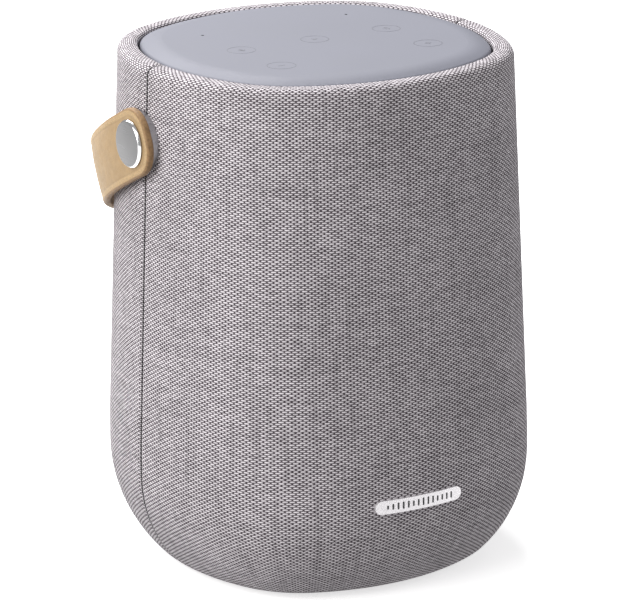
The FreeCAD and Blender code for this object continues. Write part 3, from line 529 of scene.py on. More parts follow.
def wound(name, colour, pitch):
    """Wire wound on a former: narrow ridges along Y, with painted shade between the wires and a painted
    highlight on their crowns.
    """
    finish = Finish(name, Metallic=0.7)
    ridge = finish.ridges(finish.calc("DIVIDE", finish.split(finish.place)[1], pitch))
    tone = finish.noise(finish.place, 500.0)
    # painted shade and highlight: the copper is darker between the wires and lighter on their crowns, with a
    # random tone
    finish.colour(finish.mix(finish.times(ridge, tone), shade(colour, 0.45), shade(colour, 1.3)))
    finish.rough(finish.remap(tone, 0.3, 0.7, 0.28, 0.42))
    finish.bump(ridge, 0.6, 0.08 * MM)
    return finish.material


def mesh_cloth(name, colour, pitch, rough):
    """Stiff speaker cloth: a square net of threads in the plane the driver faces, with painted shade between
    the threads and a painted highlight on their crowns.
    """
    finish = Finish(name, Specular_IOR_Level=0.3)
    x, _, z = finish.split(finish.place)
    net = finish.times(*[finish.ridges(finish.calc("DIVIDE", part, pitch)) for part in (x, z)])
    tone = finish.noise(finish.place, 350.0)
    share = finish.calc("MULTIPLY_ADD", net, 0.7, finish.times(tone, 0.3))
    # painted shade and highlight: the threads' crowns are lighter and the gaps darker, with a random tone
    # over both
    finish.colour(finish.mix(share, shade(colour, 0.5), shade(colour, 1.25)))
    finish.rough(finish.remap(tone, 0.3, 0.7, rough - 0.06, rough + 0.06))
    finish.bump(net, 0.5, 0.1 * MM)
    return finish.material


# slot: material, colour, roughness, grains for each metre, depth of the grain in millimetres, spread of tone
GRAINED = {
    "shell_plastic": ("moulded_shell", (0.03, 0.03, 0.032), 0.6, 1500.0, 0.06, 0.12),
    "cabinet_plastic": ("moulded_cabinet", (0.022, 0.022, 0.024), 0.6, 1100.0, 0.07, 0.12),
    "foot_rubber": ("foot_rubber_matt", (0.012, 0.012, 0.013), 0.85, 1300.0, 0.08, 0.12),
    "seal_rubber": ("foam_seal", (0.01, 0.01, 0.01), 0.9, 3200.0, 0.15, 0.12),
    "cone_paper": ("pressed_pulp", (0.02, 0.02, 0.022), 0.75, 2200.0, 0.12, 0.3),
    "surround_rubber": ("surround_butyl", (0.008, 0.008, 0.008), 0.5, 900.0, 0.03, 0.12),
    "magnet_ferrite": ("ferrite", (0.02, 0.02, 0.023), 0.7, 1700.0, 0.1, 0.12),
    "connector_plastic": ("nylon", (0.68, 0.64, 0.52), 0.4, 1200.0, 0.03, 0.06),
    "lead_insulation": ("wire_jacket", (0.2, 0.012, 0.012), 0.4, 700.0, 0.02, 0.12),
    "light_pipe": ("frosted_lens", (0.72, 0.75, 0.78), 0.3, 1600.0, 0.02, 0.05),
    "control_plastic": ("spark_plastic", (0.045, 0.045, 0.047), 0.55, 3000.0, 0.05, 0.2),
    "key_plastic": ("key_satin", (0.09, 0.09, 0.093), 0.42, 2600.0, 0.02, 0.08),
    "basket_steel": ("powder_coat", (0.01, 0.01, 0.01), 0.5, 2000.0, 0.08, 0.12),
    "badge_ink": ("badge_mark", (0.03, 0.03, 0.033), 0.5, 2600.0, 0.01, 0.1),
    "key_ink": ("key_mark", (0.5, 0.5, 0.5), 0.5, 2600.0, 0.01, 0.06),
}
FINISHES = {}


def finish_for(slot):
    """The material of a slot of the record, made the first time it is asked for."""
    if slot not in FINISHES:
        look = bpy.context.scene.speaker_look
        recipes = {
            "woven_fabric": lambda: woven("woven_cloth", look),
            "strap_leather": lambda: hide("tan_leather", look),
            "panel_plastic": lambda: grained("satin_panel", look.panel, 0.55, 2400.0, 0.012 * MM, 0.035,
                                             Specular_IOR_Level=0.2),
            "satin_metal": lambda: brushed("satin_rivet", look.rivet, 0.3, 1),
            "boss_metal": lambda: brushed("satin_boss", (0.46, 0.46, 0.47), 0.3, 2),
            "badge_metal": lambda: grained("blasted_badge", look.badge, 0.46, 4200.0, 0.025 * MM, 0.05,
                                           Metallic=0.75),
            "screw_steel": lambda: brushed("zinc_screws", (0.42, 0.42, 0.43), 0.35, 2),
            "spider_cloth": lambda: mesh_cloth("phenolic_cloth", (0.42, 0.27, 0.11), 0.7 * MM, 0.7),
            "pole_steel": lambda: brushed("plated_steel", (0.5, 0.5, 0.5), 0.32, 1),
            "coil_copper": lambda: wound("copper_windings", (0.72, 0.4, 0.22), 0.3 * MM),
            "dome_silk": lambda: mesh_cloth("doped_silk", (0.02, 0.02, 0.023), 0.3 * MM, 0.5),
            "board_green": lambda: printed_board("solder_mask", (0.012, 0.11, 0.045)),
            "shield_tin": lambda: brushed("tinned_sheet", (0.66, 0.66, 0.67), 0.28, 0),
            "cell_wrap": lambda: grained("shrink_wrap", (0.02, 0.12, 0.2), 0.25, 240.0, 0.08 * MM, 0.1,
                                         Coat_Weight=0.5),
            "ribbon_film": lambda: grained("film_ribbon", (0.5, 0.18, 0.02), 0.25, 500.0, 0.02 * MM, 0.08,
                                           Coat_Weight=0.6),
            "heat_aluminium": lambda: grained("black_anodised", (0.03, 0.03, 0.032), 0.35, 3000.0, 0.02 * MM,
                                              0.1, Metallic=0.8),
            "mark_ink": lambda: grained("touch_mark", look.mark, 0.5, 2600.0, 0.01 * MM, 0.06),
            "bright_bevel": lambda: brushed("polished_bevel", (0.82, 0.82, 0.83), 0.12, 0),
            "floor": lambda: grained("pale_floor", (0.85, 0.85, 0.85), 0.9, 8.0, 0.01 * MM, 0.01,
                                     Emission_Color=(1.0, 1.0, 1.0, 1.0), Emission_Strength=0.58),
        }
        if slot in GRAINED:
            name, colour, rough, grain, depth, spread = GRAINED[slot]
            FINISHES[slot] = grained(name, colour, rough, grain, depth * MM, spread)
        else:
            FINISHES[slot] = recipes[slot]()
    return FINISHES[slot]


# ---------------------------------------------------------------- what a user may change
def colour_setting(name, description, default):
    """A colour that a user may change."""
    return FloatVectorProperty(name=name, description=description, subtype="COLOR", size=3, default=default,
                               min=0, max=1)


def length_setting(name, description, default, low, high, precision=4):
    """A length in metres that a user may change between two limits."""
    return FloatProperty(name=name, description=description, default=default, min=low, max=high,
                         precision=precision, unit="LENGTH")


def power_setting(name, description, default):
    """The power of a light in watts."""
    return FloatProperty(name=name, description=description, default=default, min=0, max=500, unit="POWER")


def angle_setting(name, description, degrees):
    """An angle, given in degrees."""
    return FloatProperty(name=name, description=description, default=math.radians(degrees), subtype="ANGLE")


class SpeakerLook(bpy.types.PropertyGroup):
    """Colours and thread sizes of the speaker."""

    light_thread: colour_setting("Light thread", "Colour of the pale threads", (0.79, 0.748, 0.782))
    dark_thread: colour_setting(
        "Dark thread", "Colour of the dark threads between them", (0.065, 0.050, 0.061))
    warp_pitch: length_setting(
        "Warp pitch", "Distance between upright threads", 1.168 * MM, 0.2 * MM, 5 * MM, 5)
    weft_pitch: length_setting(
        "Weft pitch", "Distance between level threads", 0.741 * MM, 0.2 * MM, 5 * MM, 5)
    thread_low: FloatProperty(
        name="Gap", description="Height of the weave below which only the dark thread shows", default=0.12,
        min=-1, max=1)
    thread_high: FloatProperty(
        name="Crown", description="Height of the weave above which only the light thread shows", default=0.72,
        min=-1, max=1)
    slub: FloatProperty(
        name="Slub", description="Tone of the thick dark places in a thread", default=0.87, min=0.3, max=1,
        subtype="FACTOR")
    panel: colour_setting("Touch panel", "Colour of the panel on top", (0.216, 0.22, 0.262))
    # this colour serves the printed symbols and also the painted shade of the ring grooves
    mark: colour_setting("Touch marks", "Colour of the marks on the panel", (0.125, 0.127, 0.155))
    leather: colour_setting("Leather", "Colour of the strap's face", (0.415, 0.278, 0.138))
    leather_edge: colour_setting(
        "Leather border", "Colour of the raised border along the strap", (0.48, 0.33, 0.17))
    leather_side: colour_setting(
        "Leather side", "Colour of the strap's cut sides and back", (0.33, 0.20, 0.095))
    rivet: colour_setting("Rivet", "Colour of the rivets' metal", (0.155, 0.154, 0.156))
    badge: colour_setting("Badge", "Colour of the badge's metal", (0.72, 0.70, 0.72))


class SpeakerSizes(bpy.types.PropertyGroup):
    """Sizes of the soft and fine parts of the speaker."""

    mesh_step: length_setting("Mesh step", "Longest side of a face of the cloth", 0.0035, 0.001, 0.01)
    cloth_thickness: length_setting(
        "Cloth thickness", "Thickness of the woven cloth", 0.0008, 0.0003, 0.001, 5)
    seam_dip: length_setting("Seam dip", "How far the cloth turns in at a seam", 0.0008, 0, 0.001, 5)
    strap_width: length_setting("Strap width", "Width of the leather band", 0.0244, 0.01, 0.03)
    strap_thickness: length_setting(
        "Strap thickness", "Thickness of the leather band", 0.0028, 0.001, 0.004)
    strap_edge: length_setting(
        "Strap edge radius", "Rounding along the strap's edges", 0.0009, 0.0001, 0.0014, 5)
    strap_sway: length_setting(
        "Strap lean", "How far the upper edge leans in behind each pivot", 0.001, 0, 0.002, 5)
    strap_cup: length_setting(
        "Strap cup", "How far both edges curl in behind each pivot", 0.0003, 0, 0.002, 5)
    strap_side: length_setting(
        "Strap side bend", "Radius of the strap's bend along each side", 0.081, 0.07, 0.12)
    strap_back: length_setting(
        "Strap back bend", "Radius of the strap's bend round the back", 0.067, 0.05, 0.07)
    strap_end: length_setting("Strap end", "Leather past the hinge axis", 0.0118, 0.008, 0.02)
    strap_round: length_setting(
        "Strap end radius", "Radius of the corners at the strap's ends", 0.0104, 0.004, 0.012)
    rivet_radius: length_setting("Rivet radius", "Radius of a rivet's head", 0.0086, 0.004, 0.011)
    badge_bars: IntProperty(
        name="Badge bars", description="Number of level bars on the badge", default=14, min=3, max=40)


class SpeakerStage(bpy.types.PropertyGroup):
    """Light and camera round the speaker."""

    key_power: power_setting("Key light", "Power of the large light on the left", 25.0)
    fill_power: power_setting("Fill light", "Power of the light on the right", 3.0)
    top_power: power_setting("Top light", "Power of the light overhead", 36.0)
    sky: FloatProperty(
        name="Sky", description="Strength of the even light all round", default=0.38, min=0, max=5)
    yaw: angle_setting("Camera side", "Angle of the camera round the speaker", -31.58)
    rise: angle_setting("Camera height", "Angle of the camera above level", 17.37)
    roll: angle_setting("Camera roll", "Turn of the camera about its own view", -0.44)
    distance: length_setting("Camera distance", "From the camera to the point it faces", 1.301, 0.3, 5, 3)
    aim: length_setting("Camera aim", "Height of the point the camera faces", 0.094, 0, 0.3, 3)
    lens: FloatProperty(
        name="Lens", description="Focal length of the camera in millimetres", default=208.3, min=20, max=500)
    shift: FloatVectorProperty(
        name="Lens shift", description="Sideways and upward shift of the lens", size=2,
        default=(-0.0107, -0.0079))


# ---------------------------------------------------------------- cloth
NEAR_SEAM = [d * MM for d in (0.05, 0.3, 0.6, 0.95, 1.35, 1.8, 2.4, 3.4)]
DIP_REACH = 1.7 * MM            # how far from a seam the cloth begins to turn in
TURN_STEPS = 1441               # points that the outline is measured along


def thread_columns(width, step):
    """Distances from one seam to the other, close together near both."""
    margin = NEAR_SEAM[-1]
    inner = np.linspace(margin, width - margin, max(2, round((width - 2 * margin) / step)) + 1)
    return np.concatenate([NEAR_SEAM[:-1], inner, [width - d for d in reversed(NEAR_SEAM[:-1])]])


def run_length(points):
    """Distance travelled along a line of points, at each point."""
    return np.concatenate([[0], np.cumsum(np.linalg.norm(np.diff(points, axis=0), axis=1))])


def cloth_panel(name, front, sizes):
    """Half of the cloth cover from seam to seam and hem to lip, with its flat width and length."""
    seam_turn = math.asin(SEAM_Y / (MIDDLE_HALF + SIDE_OFFSET))
    begin, end = (-math.pi - seam_turn, seam_turn) if front else (seam_turn, math.pi - seam_turn)
    turns = np.linspace(begin, end, TURN_STEPS)
    travelled = run_length(np.array([body_point(MIDDLE_HALF, turn) for turn in turns]))
    width = float(travelled[-1])
    columns = thread_columns(width, sizes.mesh_step)
    column_turns = np.interp(columns, travelled, turns)
    rows = cloth_meridian(sizes.mesh_step)
    climbed = run_length(rows)
    tangent = np.gradient(rows, climbed, axis=0)
    points, spots, from_seam = [], [], []
    for (half, height), (run, rise), v in zip(rows, tangent, climbed):
        for u, turn in zip(columns, column_turns):
            edge = min(u, width - u)
            dip = sizes.seam_dip * max(0.0, 1.0 - edge / DIP_REACH) ** 2
            x, y = body_point(half - dip * rise, turn)
            points.append((x, y, height + dip * run))
            spots.append((u, v))
            from_seam.append((edge, 0.0))
    across = len(columns)
    faces = []
    for r in range(len(rows) - 1):
        for c in range(across - 1):
            a = r * across + c
            faces.append((a, a + 1, a + 1 + across, a + across))
    panel = mesh_piece(name, points, faces)
    lay_map(panel, "UVMap", spots)
    lay_map(panel, "Seam", from_seam)
    thick = panel.modifiers.new("Thickness", "SOLIDIFY")
    thick.thickness = sizes.cloth_thickness
    thick.offset = -1.0
    apply_modifiers(panel)
    paint(panel, finish_for("woven_fabric"))
    return panel, width, float(climbed[-1])


class SPEAKER_OT_cloth(bpy.types.Operator):
    """Stretch the front and back cloth panels over the body"""

    bl_idname = "speaker.cloth"
    bl_label = "Woven cloth"

    def execute(self, context):
        sizes = context.scene.speaker_sizes
        for name, front, node, under in (
                ("cloth_front", True, "fabric_front", "grille_shell"),
                ("cloth_back", False, "fabric_back", "cabinet")):
            panel, width, length = cloth_panel(name, front, sizes)
            place(panel, "root", "woven_fabric", node)
        return {"FINISHED"}


# ---------------------------------------------------------------- touch panel
MARK_X, MARK_Y = 30.2 * MM, 27.2 * MM   # places of the marks and microphones from the panel's middle
STROKE = 0.42 * MM
RING_RADIUS, RING_STROKE = 5.0 * MM, 0.26 * MM
MARK_LIFT, MARK_BEVEL = 0.04 * MM, 0.06 * MM
UPRIGHT = math.pi / 2
# radius and height of a dark lining in each microphone hole: painted shade that darkens the hole's wall
MIC_HOLE_SHADE = [(radius * MM, height * MM) for radius, height in (
    (0.59, -2.0), (0.59, -0.12), (0.5, -0.05), (0.44, -0.15), (0.42, -1.7))]


def on_panel(x, y):
    """A frame for marks on the flat top of the panel."""
    return lambda a, b, lift: (x + a, y + b, PANEL_TOP + lift)


def drop_sign():
    """A round-ended drop in a cradle, on a short stem."""
    cradle = arc_bars(0, 0.3 * MM, 1.35 * MM, STROKE, 195, 345, 8)
    stem = bar(0, -1.5 * MM, 0.9 * MM, STROKE, UPRIGHT)
    return [bar(0, 0.35 * MM, 2.0 * MM, 1.1 * MM, UPRIGHT)] + cradle + [stem]


def wave_sign():
    """A dot that sends out two waves."""
    x = -1.4 * MM
    inner, outer = arc_bars(x, 0, 1.3 * MM, STROKE, -48, 48, 6), arc_bars(x, 0, 2.3 * MM, STROKE, -48, 48, 8)
    return [bar(x, 0, 0.5 * MM, 0.5 * MM)] + inner + outer


class SPEAKER_OT_touch_panel(bpy.types.Operator):
    """Finish the touch panel and set its marks"""

    bl_idname = "speaker.touch_panel"
    bl_label = "Touch panel"

    def execute(self, context):
        dress(["top_panel"], finish_for("panel_plastic"))
        minus = bar(0, 0, 2.9 * MM, STROKE)
        marks = {
            "mark_voice": (-MARK_X, 0.0, drop_sign()),
            "mark_play": (0.0, 0.0, [[(-0.8 * MM, -1.1 * MM), (1.2 * MM, 0.0), (-0.8 * MM, 1.1 * MM)]]),
            "mark_pair": (MARK_X, 0.0, wave_sign()),
            "mark_quieter": (-MARK_X, -MARK_Y, [minus]),
            "mark_louder": (MARK_X, -MARK_Y, [minus, bar(0, 0, 2.9 * MM, 0.98 * STROKE, UPRIGHT)]),
        }
        # painted shade: a dark ring laid over each shallow ring groove stands in for the groove's shaded
        # wall; the symbols are print
        ring = arc_bars(0, 0, RING_RADIUS, RING_STROKE, 0, 360, 40)
        for name, (x, y, shapes) in marks.items():
            mark = raised_shapes(name, shapes + ring, on_panel(x, y), MARK_LIFT, MARK_BEVEL)
            paint(mark, finish_for("mark_ink"))
            place(mark, "root", "panel_plastic")
        for side, name in ((-1, "left"), (1, "right")):
            # painted shade: a near-black lining in each microphone hole, where the hole's wall would be
            # shaded
            hole_shade = lathe("mic_sleeve_" + name, MIC_HOLE_SHADE, on_panel(side * MARK_X, MARK_Y), 32)
            face_outwards(hole_shade)
            paint(hole_shade, finish_for("seal_rubber"))
            place(hole_shade, "root", "seal_rubber")
        return {"FINISHED"}


# ---------------------------------------------------------------- strap
CORNER_STEPS = 10               # points round each corner of the flat band
END_SHARES = (-1.0, -0.5, 0.0, 0.5, 1.0)
LEAN_BEGINS = (6 * MM, 30 * MM)         # past the pivot, where the band starts to lean in
LEAN_ENDS = (40 * MM, 75 * MM)          # and where it stands straight again
# distance in from the edge and height over the face, in millimetres: a raised border and the groove beside it
BORDER = ((1.2, 0.04), (1.9, 0.05), (2.3, 0.0), (2.6, -0.07), (2.9, -0.06), (3.3, -0.01),
          (4.3, 0.0), (5.8, 0.0), (7.4, 0.0), (9.0, 0.0))
UNDERSIDE = (2.5, 5.4, 9.0)


def strap_run(sizes):
    """The strap's middle line: its point and outward direction at a distance, its length, and across it."""
    half = STRAP_OUT_X - sizes.strap_thickness / 2
    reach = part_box("handle_strap")[1].y - PIVOT.y
    lean = (math.cos(STRAP_TILT), -math.sin(STRAP_TILT))
    tip = (reach - sizes.strap_width / 2 * math.sin(STRAP_TILT)) / math.cos(STRAP_TILT)
    side_in, step = sizes.strap_side - half, sizes.strap_side - sizes.strap_back
    turn = math.acos(side_in / step)
    back_along = tip - sizes.strap_thickness / 2 - sizes.strap_back
    leg = back_along - step * math.sin(turn)
    straight = sizes.strap_end + leg
    side_run = sizes.strap_side * turn
    total = 2 * (straight + side_run) + sizes.strap_back * (math.pi - 2 * turn)

    def at(distance):
        left = distance < total / 2
        run = distance if left else total - distance
        if run <= straight:
            along, x, bend = run - sizes.strap_end, half, 0.0
        elif run <= straight + side_run:
            bend = (run - straight) / sizes.strap_side
            along, x = leg + sizes.strap_side * math.sin(bend), sizes.strap_side * math.cos(bend) - side_in
        else:
            bend = turn + (run - straight - side_run) / sizes.strap_back
            along, x = back_along + sizes.strap_back * math.sin(bend), sizes.strap_back * math.cos(bend)
        side = -1 if left else 1
        middle = Vector((side * x, PIVOT.y + along * lean[0], PIVOT.z + along * lean[1]))
        out = Vector((side * math.cos(bend), math.sin(bend) * lean[0], math.sin(bend) * lean[1]))
        return middle, out

    return at, total, Vector((0, math.sin(STRAP_TILT), math.cos(STRAP_TILT)))


def band_loop(length, half_width, corner, inset, stations):
    """Outline of the flat band at a distance inside its edge, with the same count of points at any inset."""
    radius = max(corner - inset, 0.02 * MM)
    x_end, y_end = length / 2 - inset, half_width - inset
    cx, cy = x_end - radius, y_end - radius
    along = [max(-cx, min(cx, s)) for s in stations]

    def turn(side_x, side_y, quarter):
        bends = [math.pi / 2 * (quarter + k / CORNER_STEPS) for k in range(1, CORNER_STEPS)]
        return [(side_x * cx + radius * math.cos(a), side_y * cy + radius * math.sin(a)) for a in bends]

    return ([(s, -y_end) for s in along] + turn(1, -1, -1) + [(x_end, share * cy) for share in END_SHARES]
            + turn(1, 1, 0) + [(s, y_end) for s in reversed(along)] + turn(-1, 1, 1)
            + [(-x_end, -share * cy) for share in END_SHARES] + turn(-1, -1, 2))


def ramp(value, low, high):
    """Smooth rise from 0 to 1 between two values."""
    share = min(max((value - low) / (high - low), 0.0), 1.0)
    return share * share * (3 - 2 * share)


def rounding(edge, half_thick, steps):
    """Distance in from the edge and height of the band's rounded side, from its middle out to the face."""
    bends = [math.pi / 2 * k / steps for k in range(steps + 1)]
    return [(edge * (1 - math.cos(a)), half_thick - edge + edge * math.sin(a)) for a in bends]


def close_end(faces, start, count, first):
    """Close a flat loop with quads between its two long sides, from the point where one end's middle lies."""
    half = count // 2
    order = [(first + k) % count for k in range(count)]
    left, right = order[:half + 1], [order[0]] + list(reversed(order[half:]))
    for k in range(half):
        ring = list(dict.fromkeys([left[k], left[k + 1], right[k + 1], right[k]]))
        if len(ring) > 2:
            faces.append(tuple(start + point for point in ring))


def leather_band(name, sizes):
    """The strap: a flat band with rounded edges and a raised border, bent along its line."""
    at, length, across = strap_run(sizes)
    half_width, half_thick = sizes.strap_width / 2, sizes.strap_thickness / 2
    straight = length / 2 - sizes.strap_round
    stations = list(np.linspace(-straight, straight, 121))
    face = rounding(sizes.strap_edge, half_thick, 6) + [(d * MM, half_thick + h * MM) for d, h in BORDER]
    under = rounding(sizes.strap_edge, half_thick, 4) + [(d * MM, half_thick) for d in UNDERSIDE]
    rings = [(inset, lift, 0.0) for inset, lift in reversed(face)]
    rings += [(inset, -lift, 1.0) for inset, lift in under]
    points, spots = [], []
    for inset, lift, side in rings:
        for s, w in band_loop(length, half_width, sizes.strap_round, inset, stations):
            middle, out = at(min(max(s + length / 2, 0.0), length))
            past_pivot = length / 2 - abs(s) - sizes.strap_end
            share = w / half_width
            lean = sizes.strap_sway * max(share, 0.0) ** 1.5 + sizes.strap_cup * share ** 2
            lean *= ramp(past_pivot, *LEAN_BEGINS) * (1 - ramp(past_pivot, *LEAN_ENDS))
            points.append(middle + across * w + out * (lift - lean))
            spots.append((inset, side))
    count = len(points) // len(rings)
    last = (len(rings) - 1) * count
    faces = []
    for start in range(0, last, count):
        bridge(faces, start, count)
    end_middle = len(stations) + CORNER_STEPS - 1 + len(END_SHARES) // 2
    close_end(faces, 0, count, end_middle)
    close_end(faces, last, count, end_middle)
    band = mesh_piece(name, points, faces)
    face_outwards(band)
    lay_map(band, "UVMap", spots)
    paint(band, finish_for("strap_leather"))
    return band


class SPEAKER_OT_strap(bpy.types.Operator):
    """Bend the leather strap round the back, from pivot to pivot"""

    bl_idname = "speaker.strap"
    bl_label = "Leather strap"

    def execute(self, context):
        band = leather_band("leather_strap", context.scene.speaker_sizes)
        place(band, "strap", "strap_leather", "handle_strap")
        return {"FINISHED"}


RIVET_HEAD = 1.3 * MM
RIVET_SHANK, SHANK_BEVEL = 3.0 * MM, 0.4 * MM
# millimetres in from the head's radius, with the height over its seat and then the drop below its face
RIVET_SIDE = ((0.25, 0.0), (0.05, 0.08), (0.0, 0.25), (0.0, 0.45), (0.12, 0.65))
RIVET_BEVEL = ((0.5, 0.14), (0.64, 0.03), (0.8, 0.0))


class SPEAKER_OT_rivets(bpy.types.Operator):
    """Turn the two rivets and finish the discs behind the strap"""

    bl_idname = "speaker.rivets"
    bl_label = "Rivets and bosses"

    def execute(self, context):
        radius = context.scene.speaker_sizes.rivet_radius
        seat = HEAD_OUT_X - RIVET_HEAD
        shank_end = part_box("rivet_right")[0].x
        profile = [(RIVET_SHANK - SHANK_BEVEL, shank_end), (RIVET_SHANK, shank_end + SHANK_BEVEL),
                   (RIVET_SHANK, seat)]
        profile += [(radius - inset * MM, seat + height * MM) for inset, height in RIVET_SIDE]
        profile += [(radius - inset * MM, HEAD_OUT_X - drop * MM) for inset, drop in RIVET_BEVEL]
        for side, name in ((-1, "left"), (1, "right")):
            rivet = lathe("rivet_head_" + name, profile,
                          lambda a, b, h, side=side: (side * h, PIVOT.y + a, PIVOT.z + b), 128)
            face_outwards(rivet)
            paint(rivet, finish_for("satin_metal"), finish_for("bright_bevel"))
            for polygon in rivet.data.polygons:
                off_axis = math.hypot(polygon.center.y - PIVOT.y, polygon.center.z - PIVOT.z)
                outer = abs(polygon.center.x) > seat + 0.3 * MM
                polygon.material_index = 1 if outer and off_axis > radius - 0.7 * MM else 0
            crisp_edges(rivet, 35.0)
            place(rivet, "root", "satin_metal", "rivet_" + name)
        dress(["pivot_boss_left", "pivot_boss_right"], finish_for("boss_metal"))
        dress(["pivot_anchors"], finish_for("pole_steel"))
        return {"FINISHED"}


# ---------------------------------------------------------------- badge
BADGE_PROUD = 0.95 * MM         # how far its face stands out of the cloth
BAR_SPAN = 0.74                 # share of the badge's length that the bars take
BAR_WIDTH = 0.7 * MM


class SPEAKER_OT_badge(bpy.types.Operator):
    """Finish the badge and set its row of level bars"""

    bl_idname = "speaker.badge"
    bl_label = "Badge"

    def execute(self, context):
        dress(["badge"], finish_for("badge_metal"))
        low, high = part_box("badge")
        span = (high.x - low.x) * BAR_SPAN
        count = context.scene.speaker_sizes.badge_bars
        bars = []
        for k in range(count):
            share = k / (count - 1)
            level = 1.6 + 0.9 * abs(math.sin(math.pi * 2.5 * share)) + 0.5 * math.sin(math.pi * share)
            bars.append(bar((share - 0.5) * span, 0.0, level * MM, BAR_WIDTH, UPRIGHT))
        marks = raised_shapes("badge_levels", bars, on_wall("badge", BADGE_PROUD, -1), 0.04 * MM, 0.05 * MM)
        paint(marks, finish_for("badge_ink"))
        place(marks, "root", "badge_metal")
        return {"FINISHED"}


# ---------------------------------------------------------------- back, base and inside
KEY_PROUD = 0.9 * MM
KEY_STROKE = 0.4 * MM


class SPEAKER_OT_controls(bpy.types.Operator):
    """Finish the rear inlay, its keys and its socket, and mark the keys"""

    bl_idname = "speaker.controls"
    bl_label = "Rear controls"

    def execute(self, context):
        dress(["rear_inlay"], finish_for("control_plastic"))
        dress(["power_button", "mute_button"], finish_for("key_plastic"))
        dress(["status_lens"], finish_for("light_pipe"))
        dress(["usb_receptacle"], finish_for("shield_tin"))
        power = arc_bars(0, 0, 1.35 * MM, KEY_STROKE, -240, 60, 16)
        power.append(bar(0, 1.1 * MM, 1.5 * MM, KEY_STROKE, UPRIGHT))
        mute = [bar(0, 0.35 * MM, 2.0 * MM, 1.0 * MM, UPRIGHT),
                bar(0, -0.1 * MM, 4.0 * MM, KEY_STROKE, math.radians(45))]
        for name, body, node, shapes in (
                ("power_symbol", "power_key", "power_button", power),
                ("mute_symbol", "mute_key", "mute_button", mute)):
            symbol = raised_shapes(name, shapes, on_wall(node, KEY_PROUD, 1), 0.05 * MM, 0.05 * MM)
            paint(symbol, finish_for("key_ink"))
            place(symbol, body, "key_plastic")
        return {"FINISHED"}


class SPEAKER_OT_base(bpy.types.Operator):
    """Finish the foot pad, the base plate and their screws"""

    bl_idname = "speaker.base"
    bl_label = "Base"

    def execute(self, context):
        by_own_slot(["foot_pad", "base_plate", "base_screws"])
        return {"FINISHED"}


class SPEAKER_OT_shells(bpy.types.Operator):
    """Finish the shells under the cloth, the baffle and the deck"""

    bl_idname = "speaker.shells"
    bl_label = "Shells and deck"

    def execute(self, context):
        by_own_slot(["grille_shell", "cabinet", "baffle", "baffle_seal", "baffle_screws", "fabric_clamp_ring",
                     "top_deck", "deck_screws", "light_guide", "mic_seals"])
        return {"FINISHED"}


class SPEAKER_OT_drivers(bpy.types.Operator):
    """Finish the woofer and the tweeter"""

    bl_idname = "speaker.drivers"
    bl_label = "Woofer and tweeter"

    def execute(self, context):
        by_own_slot([node for node in frame["nodes"] if node.startswith(("woofer_", "tweeter_"))])
        return {"FINISHED"}


class SPEAKER_OT_electronics(bpy.types.Operator):
    """Finish the boards, the battery and their leads"""

    bl_idname = "speaker.electronics"
    bl_label = "Electronics"

    def execute(self, context):
        by_own_slot(["main_board", "board_screws", "wireless_module", "heat_sink", "board_connectors",
                     "antennas", "touch_board", "touch_ribbon", "battery_cells", "battery_tray",
                     "battery_lead", "control_board", "key_switches"])
        return {"FINISHED"}


# ---------------------------------------------------------------- stage
FLOOR_RADIUS, FLOOR_SIDES = 9.0, 96
LIGHTS_FACE = Vector((0, 0, 0.09))
LIGHTS = (                      # name, place, side of the square, tint and the setting for its power
    ("key_light", (-1.45, -0.15, 0.85), 1.3, (1.0, 0.99, 0.98), "key_power"),
    ("fill_light", (1.3, -0.6, 0.6), 0.9, (0.97, 0.98, 1.0), "fill_power"),
    ("top_light", (0.1, 1.05, 1.35), 1.2, (1.0, 1.0, 1.0), "top_power"),
)


def soft_light(name, spot, size, tint, power):
    """A square area light that faces the middle of the speaker."""
    data = bpy.data.lights.new(name, "AREA")
    data.shape = "SQUARE"
    data.size = size
    data.energy = power
    data.color = tint
    light = bpy.data.objects.new(name, data)
    bpy.context.scene.collection.objects.link(light)
    light.location = spot
    light.rotation_mode = "QUATERNION"
    light.rotation_quaternion = (LIGHTS_FACE - light.location).to_track_quat("-Z", "Y")


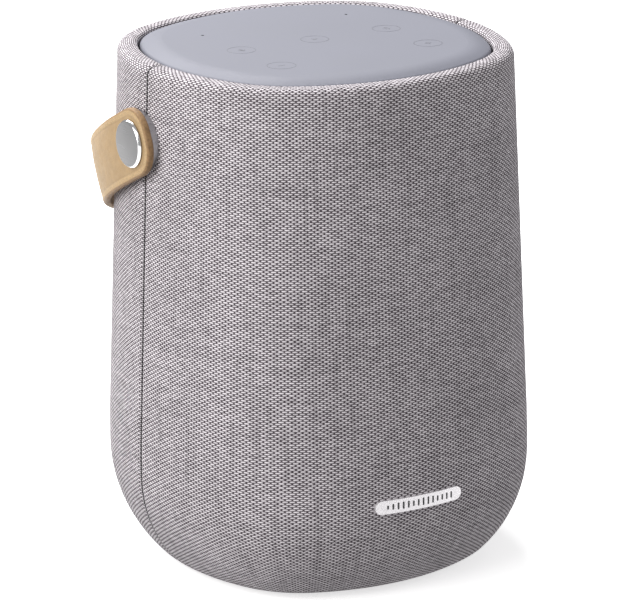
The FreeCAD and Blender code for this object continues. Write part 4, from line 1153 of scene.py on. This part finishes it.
class SPEAKER_OT_stage(bpy.types.Operator):
    """Lay the floor and set the lights and the camera"""

    bl_idname = "speaker.stage"
    bl_label = "Stage"

    def execute(self, context):
        look = context.scene.speaker_stage
        turns = [math.tau * k / FLOOR_SIDES for k in range(FLOOR_SIDES)]
        ring = [(FLOOR_RADIUS * math.cos(turn), FLOOR_RADIUS * math.sin(turn), 0.0) for turn in turns]
        floor = mesh_piece("floor", ring, [tuple(range(FLOOR_SIDES))], smooth=False)
        paint(floor, finish_for("floor"))
        floor.visible_diffuse = False
        world = bpy.data.worlds.new("studio")
        world.use_nodes = True
        sky = world.node_tree.nodes["Background"]
        sky.inputs["Color"].default_value = (1.0, 1.0, 1.0, 1.0)
        sky.inputs["Strength"].default_value = look.sky
        context.scene.world = world
        for name, spot, size, tint, power in LIGHTS:
            soft_light(name, spot, size, tint, getattr(look, power))
        context.scene.view_settings.view_transform = "Standard"
        back = Vector((math.sin(look.yaw) * math.cos(look.rise), -math.cos(look.yaw) * math.cos(look.rise),
                       math.sin(look.rise)))
        right = Vector((math.cos(look.yaw), math.sin(look.yaw), 0))
        up = back.cross(right)
        turned_right = math.cos(look.roll) * right + math.sin(look.roll) * up
        turned_up = -math.sin(look.roll) * right + math.cos(look.roll) * up
        data = bpy.data.cameras.new("camera")
        data.lens = look.lens
        data.sensor_width = 36.0
        data.shift_x, data.shift_y = look.shift
        data.clip_start, data.clip_end = 0.05, 30.0
        camera = bpy.data.objects.new("camera", data)
        context.scene.collection.objects.link(camera)
        camera.matrix_world = Matrix.Translation(Vector((0, 0, look.aim)) + back * look.distance) @ Matrix(
            (turned_right, turned_up, back)).transposed().to_4x4()
        context.scene.camera = camera
        return {"FINISHED"}


class SPEAKER_PT_panel(bpy.types.Panel):
    """The speaker's pieces in the 3D view's sidebar"""

    bl_label = "Strap speaker"
    bl_idname = "SPEAKER_PT_panel"
    bl_space_type = "VIEW_3D"
    bl_region_type = "UI"
    bl_category = "Speaker"

    def draw(self, context):
        for group in (context.scene.speaker_look, context.scene.speaker_sizes, context.scene.speaker_stage):
            box = self.layout.box()
            for name in group.__annotations__:
                box.prop(group, name)
        for operator in OPERATORS:
            self.layout.operator(operator.bl_idname)


GROUPS = (SpeakerLook, SpeakerSizes, SpeakerStage)
OPERATORS = (SPEAKER_OT_stage, SPEAKER_OT_cloth, SPEAKER_OT_touch_panel, SPEAKER_OT_strap, SPEAKER_OT_rivets,
             SPEAKER_OT_badge, SPEAKER_OT_controls, SPEAKER_OT_base, SPEAKER_OT_shells, SPEAKER_OT_drivers,
             SPEAKER_OT_electronics)


def register():
    for group in GROUPS:
        bpy.utils.register_class(group)
    bpy.types.Scene.speaker_look = PointerProperty(type=SpeakerLook)
    bpy.types.Scene.speaker_sizes = PointerProperty(type=SpeakerSizes)
    bpy.types.Scene.speaker_stage = PointerProperty(type=SpeakerStage)
    for made in OPERATORS + (SPEAKER_PT_panel,):
        bpy.utils.register_class(made)


def unregister():
    for made in reversed(OPERATORS + (SPEAKER_PT_panel,)):
        bpy.utils.unregister_class(made)
    del bpy.types.Scene.speaker_stage
    del bpy.types.Scene.speaker_sizes
    del bpy.types.Scene.speaker_look
    for group in reversed(GROUPS):
        bpy.utils.unregister_class(group)


def main():
    register()
    for operator in OPERATORS:
        family, call = operator.bl_idname.split(".")
        getattr(getattr(bpy.ops, family), call)()


if __name__ == "__main__":
    main()
